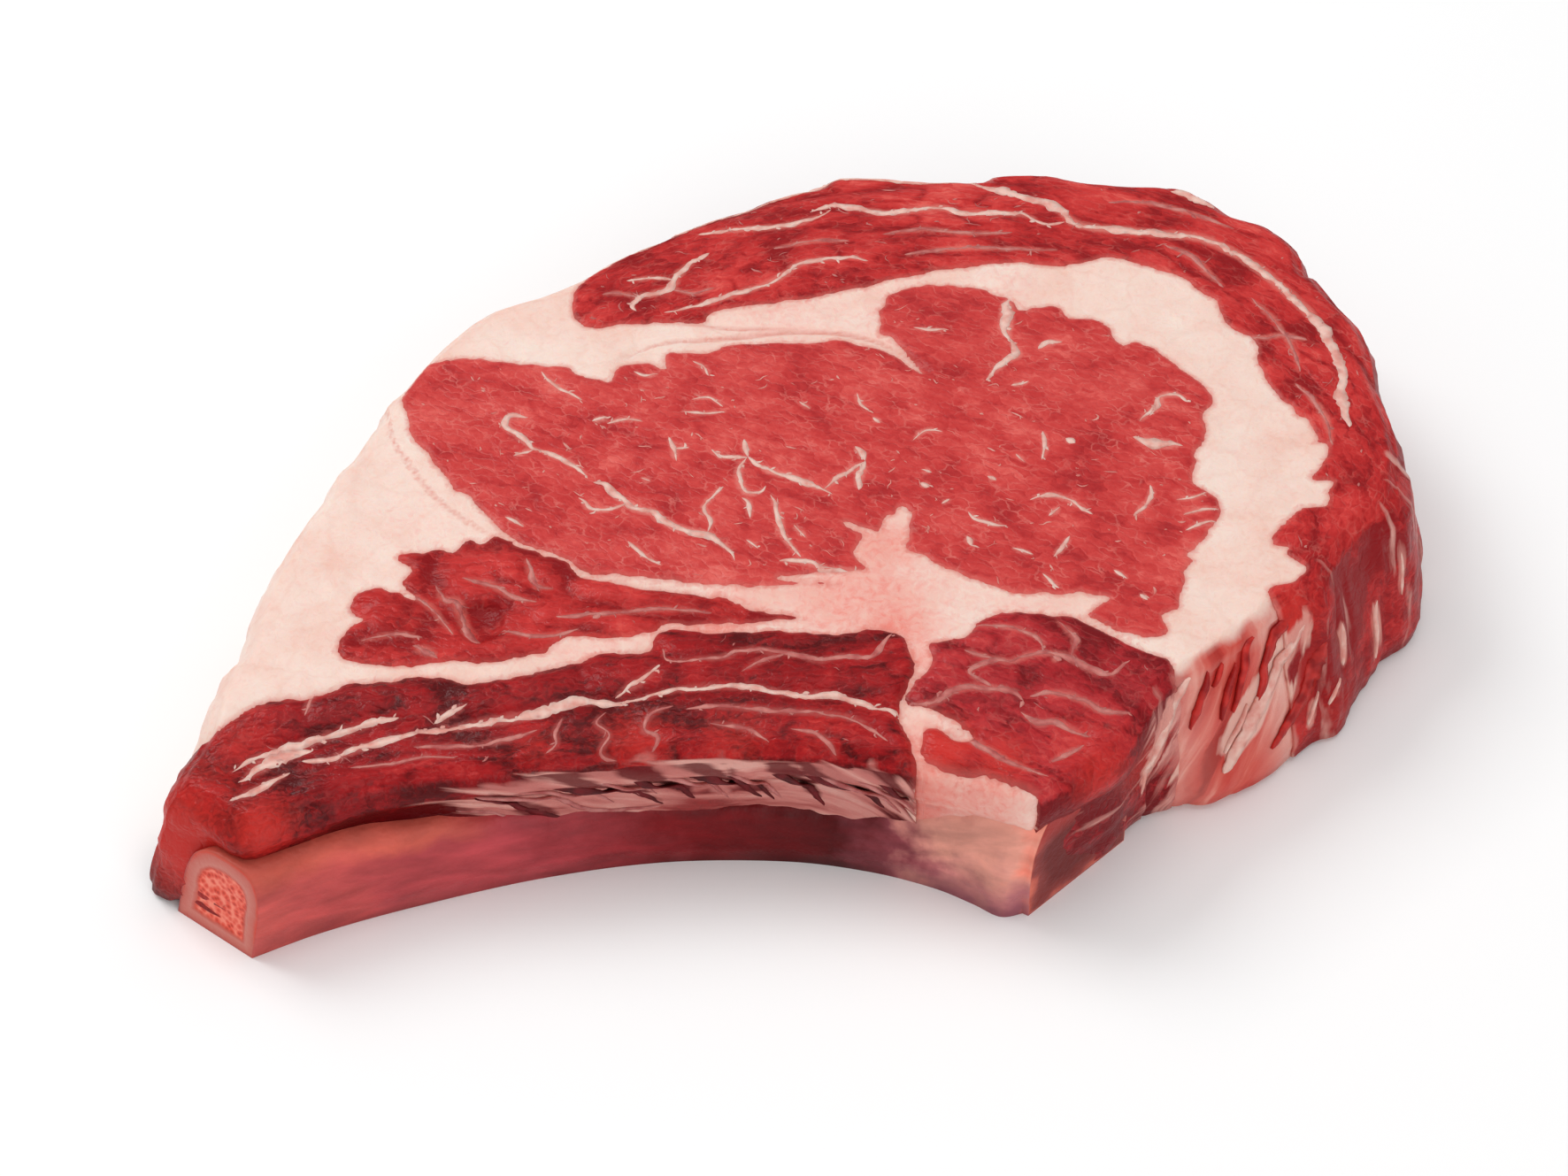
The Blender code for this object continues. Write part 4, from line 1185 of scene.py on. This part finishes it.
def fat_material(name):
    """Raw beef fat: waxy cream tissue in soft lobes, pink where blood has soaked in
    from the lean beside it, with light that goes a few millimetres in."""
    material, node = new_material(name)
    grain, strand = (node("Attribute", out="Vector", attribute_name=fact)
                     for fact in ("grain", "strand"))
    edge, film, blush = (node("Attribute", out="Fac", attribute_name=fact)
                         for fact in ("edge", "film", "blush"))
    warp = node("TexNoise", {"Vector": grain, "Scale": 0.3, "Detail": 4.0}, "Color")
    warped = node("VectorMath", (warp, (4.0, 4.0, 4.0), grain), operation="MULTIPLY_ADD")
    lobes = node("TexVoronoi", {"Vector": warped, "Scale": 0.3, "Smoothness": 0.6},
                 feature="SMOOTH_F1")
    fine = node("TexNoise", {"Vector": warped, "Scale": 0.9, "Detail": 5.0})
    broad = node("TexNoise", {"Vector": grain, "Scale": 0.09, "Detail": 3.0})
    cells = node("TexVoronoi", {"Vector": warped, "Scale": 0.11},
                 feature="DISTANCE_TO_EDGE")
    streaks = node("TexNoise", {
        "Vector": node("Mapping", {"Vector": strand, "Scale": (0.04, 0.2, 0.0)}),
        "Scale": 1.0, "Detail": 4.0, "Distortion": 0.5})
    tone = -0.05
    for part, weight in ((broad, 0.7), (fine, 0.5)):
        tone = node("Math", (part, weight, tone), operation="MULTIPLY_ADD")
    body = node("ValToRGB", (tone,), stops=(
        (0.35, "#EABFB0"), (0.52, "#EDCEC1"), (0.68, "#EFD8CC"), (0.85, "#F3E3D8")))
    body = lay_over(node, body, "#DDA08F", (cells, 0.0, 0.08, 0.14, 0.0))
    # blood soaked in over whole patches, and along every border with the lean
    for fact, weight, low, high, most, colour in ((blush, 1.3, 0.7, 1.75, 1.0, "#E8877A"),
                                                  (edge, 1.8, 0.2, 1.5, 0.8, "#DA7468")):
        level = node("Math", (fine, weight, fact), operation="MULTIPLY_ADD")
        body = lay_over(node, body, colour, (level, low, high, 0.0, most))
    body = lay_band(node, body, "#DC9082", "vein", fine, 1.6)
    wall_tone = node("ValToRGB", (streaks,), stops=(
        (0.34, "#A4251E"), (0.45, "#C9443A"), (0.55, "#D25D50"), (0.64, "#E08A7C"),
        (0.76, "#EBB5A6")))
    body = node("Mix", {0: film, 6: body, 7: wall_tone}, 2, data_type="RGBA")
    body = lay_band(node, body, "#B4221C", "dark", streaks, 6.0)
    body = lay_band(node, body, "#E6B7A9", "pale", streaks, 6.0)
    gloss = node("MapRange", (fine, 0.3, 0.7, 0.38, 0.52))
    relief = node("Math", (fine, 0.8, lobes), operation="MULTIPLY_ADD")
    bump = node("Bump", {"Height": relief, "Strength": 0.4, "Distance": 0.0004})
    return set_shader(
        material, Base_Color=body, Roughness=gloss, Normal=bump, Subsurface_Weight=0.25,
        Subsurface_Radius=(1.0, 0.45, 0.3), Subsurface_Scale=0.0025,
        Specular_IOR_Level=0.3, IOR=1.44)


def strand_material(name, pale, deep, roughness, soft=0.2):
    """A thread of fat or connective tissue: smooth, waxy and a little uneven. Light
    goes some way into the pale ones, and none of it into the dark ones."""
    material, node = new_material(name)
    place = node("TexCoord", out="Object")
    fine = node("TexNoise", {"Vector": place, "Scale": 420.0, "Detail": 3.0})
    body = node("ValToRGB", (fine,), stops=((0.35, deep), (0.62, pale)))
    bump = node("Bump", {"Height": fine, "Strength": 0.3, "Distance": 0.0003})
    return set_shader(
        material, Base_Color=body, Normal=bump, Roughness=roughness, Subsurface_Weight=soft,
        Subsurface_Radius=(1.0, 0.4, 0.3), Subsurface_Scale=0.0015,
        Specular_IOR_Level=0.25, IOR=1.44)


def bone_material(name):
    """Fresh sawn rib: a pale hard ring round red marrow in a sponge of bone, and sides
    still under a thin dark film of blood and periosteum, with painted shade making the
    middle of the front darker still."""
    material, node = new_material(name)
    place = node("TexCoord", out="Object")
    rib = node("Attribute", out="Vector", attribute_name="rib")
    run, rise, shell = node("SeparateXYZ", (rib,)).node.outputs
    fine = node("TexNoise", {"Vector": place, "Scale": 900.0, "Detail": 3.0})
    broad = node("TexNoise", {"Vector": place, "Scale": 160.0, "Detail": 4.0})
    sponge = node("TexVoronoi", {"Vector": place, "Scale": 950.0})
    fibres = node("Mapping", {"Vector": rib, "Scale": (0.09, 5.0, 0.3)})
    fibre = node("TexNoise", {"Vector": fibres, "Scale": 1.0, "Detail": 5.0,
                              "Distortion": 0.3})
    along, top_level, stub_rise, ring_level, stub_level = (
        node("Math", (broad, weight, part), operation="MULTIPLY_ADD")
        for weight, part in ((26.0, run), (0.3, rise), (0.9, rise), (2.4, shell), (9.0, shell)))
    # the side, from the sawn rib end to the chine; its darkest stops, in the middle, are painted shade
    # over the film's own red
    side = node("ValToRGB", (node("MapRange", (along, -87.0, 73.0)),), stops=(
        (0.06, "#CC5750"), (0.24, "#B24347"), (0.36, "#AE3E45"), (0.52, "#74070F"),
        (0.68, "#560409"), (0.76, "#94464F"), (0.82, "#D08A80"), (0.86, "#E09282"),
        (0.93, "#DC6A58")))
    ends = (node("MapRange", (top_level, 0.9, 1.04)),
            node("MapRange", (run, -46.0, -56.0)))
    on_top = node("Math", ends, operation="MULTIPLY")
    side = node("Mix", {0: on_top, 6: side, 7: "#CC5B4C"}, 2, data_type="RGBA")
    stub = node("ValToRGB", (stub_rise,), stops=(
        (0.42, "#A45A66"), (0.66, "#C27974"), (0.84, "#DA9283"), (0.98, "#E49A88")))
    side = lay_over(node, side, stub, (along, 30.0, 40.0))
    side = lay_over(node, side, "#E8705A", (along, 50.0, 58.0, 0.0, 0.8))
    mottle = node("MapRange", (fibre, 0.3, 0.7, 0.72, 1.28))
    side = node("VectorMath", {0: side, "Scale": mottle}, operation="SCALE")
    # the sawn ends: ring, marrow, and at the chine the lean that stays on the stub
    marrow = node("ValToRGB", (sponge,), stops=(
        (0.1, "#BC3626"), (0.4, "#E8523F"), (0.8, "#F98A74")))
    ring_share = node("MapRange", {0: ring_level, 2: 8.0})
    sawn = node("ValToRGB", (ring_share,), stops=(
        (0.14, "#D2402F"), (0.24, "#C8665A"), (0.44, "#CE7C70"), (0.55, "#C8402F")))
    sawn = lay_over(node, sawn, marrow, (ring_level, 4.0, 4.7))
    stub_share = node("MapRange", {0: stub_level, 2: 12.0})
    stub_face = node("ValToRGB", (stub_share,), stops=(
        (0.28, "#D8705C"), (0.4, "#C0584A"), (0.52, "#8E3834"), (0.8, "#6E1F1D")))
    at_chine = node("MapRange", (run, 0.0, 30.0))
    sawn = node("Mix", {0: at_chine, 6: sawn, 7: stub_face}, 2, data_type="RGBA")
    ends = (node("MapRange", (rise, 0.62, 0.76)), at_chine)
    lean_above = node("Math", ends, operation="MULTIPLY")
    sawn = node("Mix", {0: lean_above, 6: sawn, 7: "#A3302C"}, 2, data_type="RGBA")
    body = lay_over(node, side, sawn, (shell, 0.05, 0.3))
    bump = node("Bump", {"Height": fine, "Strength": 0.5, "Distance": 0.0004})
    return set_shader(
        material, Base_Color=body, Normal=bump, Roughness=0.42, Subsurface_Weight=0.06,
        Subsurface_Radius=(1.0, 0.3, 0.2), Subsurface_Scale=0.001,
        Specular_IOR_Level=0.18, IOR=1.5)


def rib_placing(flat):
    """Turn a unit rod into the rib: angle round it, radius in its ends, and station."""
    angle = np.arctan2(flat[:, 1], flat[:, 0])
    radius = np.clip(np.hypot(flat[:, 0], flat[:, 1]), 0, 1)
    share = flat[:, 2] + 0.5
    stations = share * (len(rib_curve) - 1)
    row = np.column_stack([np.interp(stations, np.arange(len(rib_curve)), column)
                           for column in rib_curve.T])
    front, back, height, lean = row[:, 0:2], row[:, 2:4], row[:, 4], row[:, 5]
    power = 2 / RIB_SQUARENESS
    across = np.sign(np.cos(angle)) * np.abs(np.cos(angle)) ** power
    rise = np.where(np.sin(angle) > 0, np.abs(np.sin(angle)) ** power, 0.0)
    middle, half = (front + back) / 2, (back - front) / 2
    size = np.hypot(*half.T)
    across, rise = across * radius, RIB_HEART * (1 - radius) + rise * radius
    plan = middle + half * across[:, None]
    z = rise * height
    plan[:, 0] += lean * z / height
    lumps = RIB_LUMPS * ripple(row[:, 0], angle * RIB_GIRTH, 6.0, 71)
    lumps += RIB_GRAZES * ripple(row[:, 0], angle * RIB_GIRTH, 2.2, 72)
    plan -= half / size[:, None] * (lumps * (across < 0) * (rise > 0.02))[:, None]
    z += lumps * (rise > 0.5)
    on_cap = (share < 0.001) | (share > 0.999)
    shell = np.where(rise > 0, 1 - radius, 1 - np.abs(across)) * size
    shell = np.where(on_cap, np.where(radius > 0.995, 0.0, shell), 0.0)
    way = rib_curve[1, 0:2] - rib_curve[0, 0:2]
    way /= math.hypot(*way)
    pits = MARROW_PITS * ripple(plan[:, 0] + plan[:, 1], z, 1.1, 73)
    hollow = pits * fade(shell, 2.2, 3.2) + MARROW_SINK * fade(shell, 2.4, 3.4)
    plan += np.where(share < 0.5, 1, -1)[:, None] * way * hollow[:, None]
    plan -= SAWN_SET_BACK * fade(share, 0.012, 0.0)[:, None] * way
    plan += CHINE_LEAN * fade(share, 0.988, 1.0)[:, None] * CHINE_WAY
    placed = np.column_stack([plan, np.maximum(z, 0.0)])
    return placed, {"rib": np.column_stack([row[:, 0], rise, shell])}


def make_rib(material):
    """The rib as one closed rod with concentric rings in both sawn ends."""
    bm = bmesh.new()
    bmesh.ops.create_cone(bm, cap_ends=True, segments=RIB_SIDES, radius1=1, radius2=1,
                          depth=1)
    bmesh.ops.subdivide_edges(bm, edges=uprights(bm), cuts=RIB_RINGS, use_grid_fill=True)
    for end in (-0.5, 0.5):
        cap_face = [face for face in bm.faces if len(face.verts) > 4
                    and abs(face.calc_center_median().z - end) < 0.01]
        for _ in range(RIB_CAP_RINGS):
            bmesh.ops.inset_region(bm, faces=cap_face, thickness=0.92 / RIB_CAP_RINGS,
                                   use_even_offset=False)
    split_polygons(bm)
    finish_piece(bm, "rib_bone_detailed", material, rib_placing, ("rib_bone",))


BLUSHES = (
    # centre of a patch of fat that blood has tinted, its radius, and how strongly
    ((13, -21), 15, 0.75), ((18, -27), 9, 0.9), ((17, -9), 9, 0.75), ((-6, -20), 12, 0.45),
    ((0, 50.5), 12, 0.35), ((20, 50), 10, 0.35), ((40, -23), 9, 0.35), ((-30, -31.8), 10, 0.35),
    ((-12, -27), 8, 0.8), ((-62, -2), 9, 0.15), ((22, -34), 6, 0.8), ((40, 56.5), 6, 0.3),
    ((24, -55), 8, 0.9), ((32, -60), 9, 0.8),
)


def slab_fat_placing(flat):
    """Placing for the fat, with its blood-tinted patches."""
    placed, attributes = slab_placing(0.0, None)(flat)
    blush = np.zeros(len(flat))
    for centre, radius, strength in BLUSHES:
        gap = np.hypot(*(flat[:, :2] - np.array(centre)).T)
        blush = np.maximum(blush, strength * np.exp(-(gap / radius) ** 2))
    attributes["blush"] = blush
    return placed, attributes


fat = fat_material("raw_beef_fat")
# Waxy, nearly white lines, and pinker ones where the lean shines through.
marbling = strand_material("marbling_fat", "#EABFB2", "#DB9488", 0.42)
thin_marbling = strand_material("thin_marbling", "#E0988C", "#CE6A61", 0.42)
# Smooth dull films: red between the bundles, greyer where the wall was peeled.
sheath = strand_material("muscle_sheath", "#CC7E76", "#B05350", 0.36)
membrane = strand_material("connective_membrane", "#C17B76", "#A3504E", 0.36)
# Lean that stands free on the wall: dried and almost black, or wet and bright.
dark_fibre = strand_material("dark_fibre", "#6A1218", "#47090D", 0.5, 0.0)
red_fold = strand_material("torn_red_lean", "#C22E28", "#8F1414", 0.38, 0.0)
FINISHES = {
    # shades from cleft to back, sheath colour, bundle size mm, roughness, how much painted
    #     shade darkens the clefts, how far the sheaths show
    "eye_muscle": (("#A42427", "#C03635", "#CE4844", "#DD645C"), "#DF8278", 1.5, 0.36,
                   0.1, 0.5),
    "tail_muscle": (("#860C11", "#B12625", "#C63432", "#D64D45"), "#C65F57", 1.7, 0.3,
                    0.2, 0.3),
    "cap_muscle": (("#8C1015", "#B62727", "#CB3A37", "#DC5B52"), "#D5746A", 1.5, 0.34,
                   0.2, 0.35),
    "rib_strip_muscle": (("#540408", "#8A0F14", "#A5191C", "#BF3532"), "#B4504B",
                         1.6, 0.3, 0.2, 0.25),
    "chine_muscle": (("#740A12", "#A22026", "#B83033", "#CC4946"), "#C8665F", 1.6, 0.3,
                     0.2, 0.3),
}
TORN = ("#A8201E", "#DB978B")       # the dark and the pale strands of a torn wall
BANDS = {"rib_strip_muscle": ("#5F0D13", "#C2746D")}
VEIN_PATHS = {"eye_muscle": EYE_VEINS, "cap_muscle": CAP_BANDS, "tail_muscle": TAIL_LINES,
              "rib_strip_muscle": STRIP_LINES, "chine_muscle": CHINE_LINES}

finish_piece(flat_slab(rim_line, FAT_CELL), "seam_fat", fat, slab_fat_placing,
             ("meat",))
for meat in MUSCLES:
    shades, line_colour, *rest = FINISHES[meat["name"]]
    finish = muscle_material("raw_" + meat["name"], shades, line_colour,
                             BANDS.get(meat["name"], TORN), *rest)
    finish_piece(flat_slab(meat["outline"], FACE_CELL), meat["name"], finish,
                 slab_placing(WALL_SKIN, meat))
make_rib(bone_material("raw_rib_bone"))

VEINS = (
    # muscle, bright lines, dull lines, flecks: count, seed, turn, longest, widest
    (eye, EYE_VEINS, (), 170, 81, 25, 2.8, 0.5),
    (cap, CAP_BANDS[:6], CAP_BANDS[6:], 90, 82, 14, 3.4, 0.45),
    (tail, (), TAIL_LINES, 8, 83, 30, 3.0, 0.4),
    (strips, STRIP_LINES[:8], STRIP_LINES[8:], 12, 84, 25, 3.0, 0.35),
    (chine, (), CHINE_LINES, 10, 85, 35, 3.0, 0.4),
)
for meat, bright, dull, count, seed, turn, longest, widest in VEINS:
    small = flecks(meat, count // FLECK_SAVING, seed, turn, longest, widest)
    for side, share in (("upper", 1.0), ("sole", 0.0)):
        placing = face_placing(meat, share)
        if bright:
            rows = list(bright) + clear_of_rim(barbs(bright, seed + 1, 3.0, 1.5))
            strands_piece(f"{meat['name']}_marbling_{side}", rows, placing, marbling,
                          THREAD_RISE, seed)
        rows = list(dull) + clear_of_rim(barbs(dull, seed + 2, 5.0, 1.6) + small)
        strands_piece(f"{meat['name']}_sheaths_{side}", rows, placing,
                      thin_marbling if meat is eye else sheath, THREAD_RISE, seed + 3)

WALL_STRANDS = (
    # name, material, share of the painted width, height above the wall, seed
    ("torn_red_folds", red_fold, 1.0, 0.6, 91),
    ("pale_wall_bands", marbling, 0.6, 0.35, 92),
    ("front_dark_fibres", dark_fibre, 0.6, 0.16, 93),
    ("front_membranes", membrane, 0.55, 0.3, 94),
)
for name, material, narrow, rise, seed in WALL_STRANDS:
    rows = [(narrow * width, path) for width, path in WALL_ROWS[name]]
    strands_piece(name, rows, wall_placing(WALL_SKIN), material, rise, seed, rag=0.45)

RIM_FAT = (
    (1.7, ((-28, 70), (-13.4, 77.4), (2.3, 84.2), (10, 88.2), (24, 87.6), (36, 87.6))),
    (3.4, ((72, 82.6), (76, 80.8), (80, 77.6))),
)
strands_piece("rim_fat_ribbons", RIM_FAT, face_placing(cap, 1.0), marbling, 0.3, 96)

# ---- floor, light and camera ----
floor_mesh = bpy.data.meshes.new("floor")
floor_bm = bmesh.new()
bmesh.ops.create_grid(floor_bm, x_segments=2, y_segments=2, size=3.0)
floor_bm.to_mesh(floor_mesh)
floor_bm.free()
floor = add_object("floor", floor_mesh)
# Matt paper, so that the steak throws only a soft shadow and mirrors nothing.
paper, _ = new_material("white_paper")
floor_mesh.materials.append(
    set_shader(paper, Base_Color="#FAFAFA", Roughness=0.9, Specular_IOR_Level=0.0))


LAMP_TARGET = (0, 0, 0.01)
WORLD_LIGHT = 0.5
LENS_MM = 85
SENSOR_MM = 36
LENS_SHIFT = -0.0082


def aim(thing, place, target):
    """Put a lamp or camera somewhere and turn its -Z axis to a target."""
    thing.location = place
    thing.rotation_euler = (Vector(target) - Vector(place)).to_track_quat("-Z", "Y").to_euler()


def add_lamp(name, place, size, watts):
    """A square soft lamp that looks at the steak."""
    lamp = bpy.data.lights.new(name, "AREA")
    lamp.size = size
    lamp.energy = watts
    aim(add_object(name, lamp), place, LAMP_TARGET)


add_lamp("key_softbox", (-0.75, 0.55, 1.1), 0.7, 8.6)
add_lamp("top_softbox", (0.1, 0.1, 1.3), 1.0, 3.6)
add_lamp("front_fill", (0.45, -1.15, 0.65), 1.0, 5.0)
world = bpy.data.worlds.new("studio")
bpy.context.scene.world = world
world.use_nodes = True
sky = world.node_tree.nodes["Background"]
sky.inputs["Color"].default_value = (1, 1, 1, 1)
sky.inputs["Strength"].default_value = WORLD_LIGHT

camera_data = bpy.data.cameras.new("camera")
camera_data.lens = LENS_MM
camera_data.sensor_width = SENSOR_MM
camera_data.shift_y = LENS_SHIFT
camera = add_object("camera", camera_data)
aim(camera, to_metres(SIGHT_FROM[None])[0], to_metres(FOCUS_PLAN[None])[0])
bpy.context.scene.camera = camera
bpy.context.scene.view_settings.view_transform = "Standard"
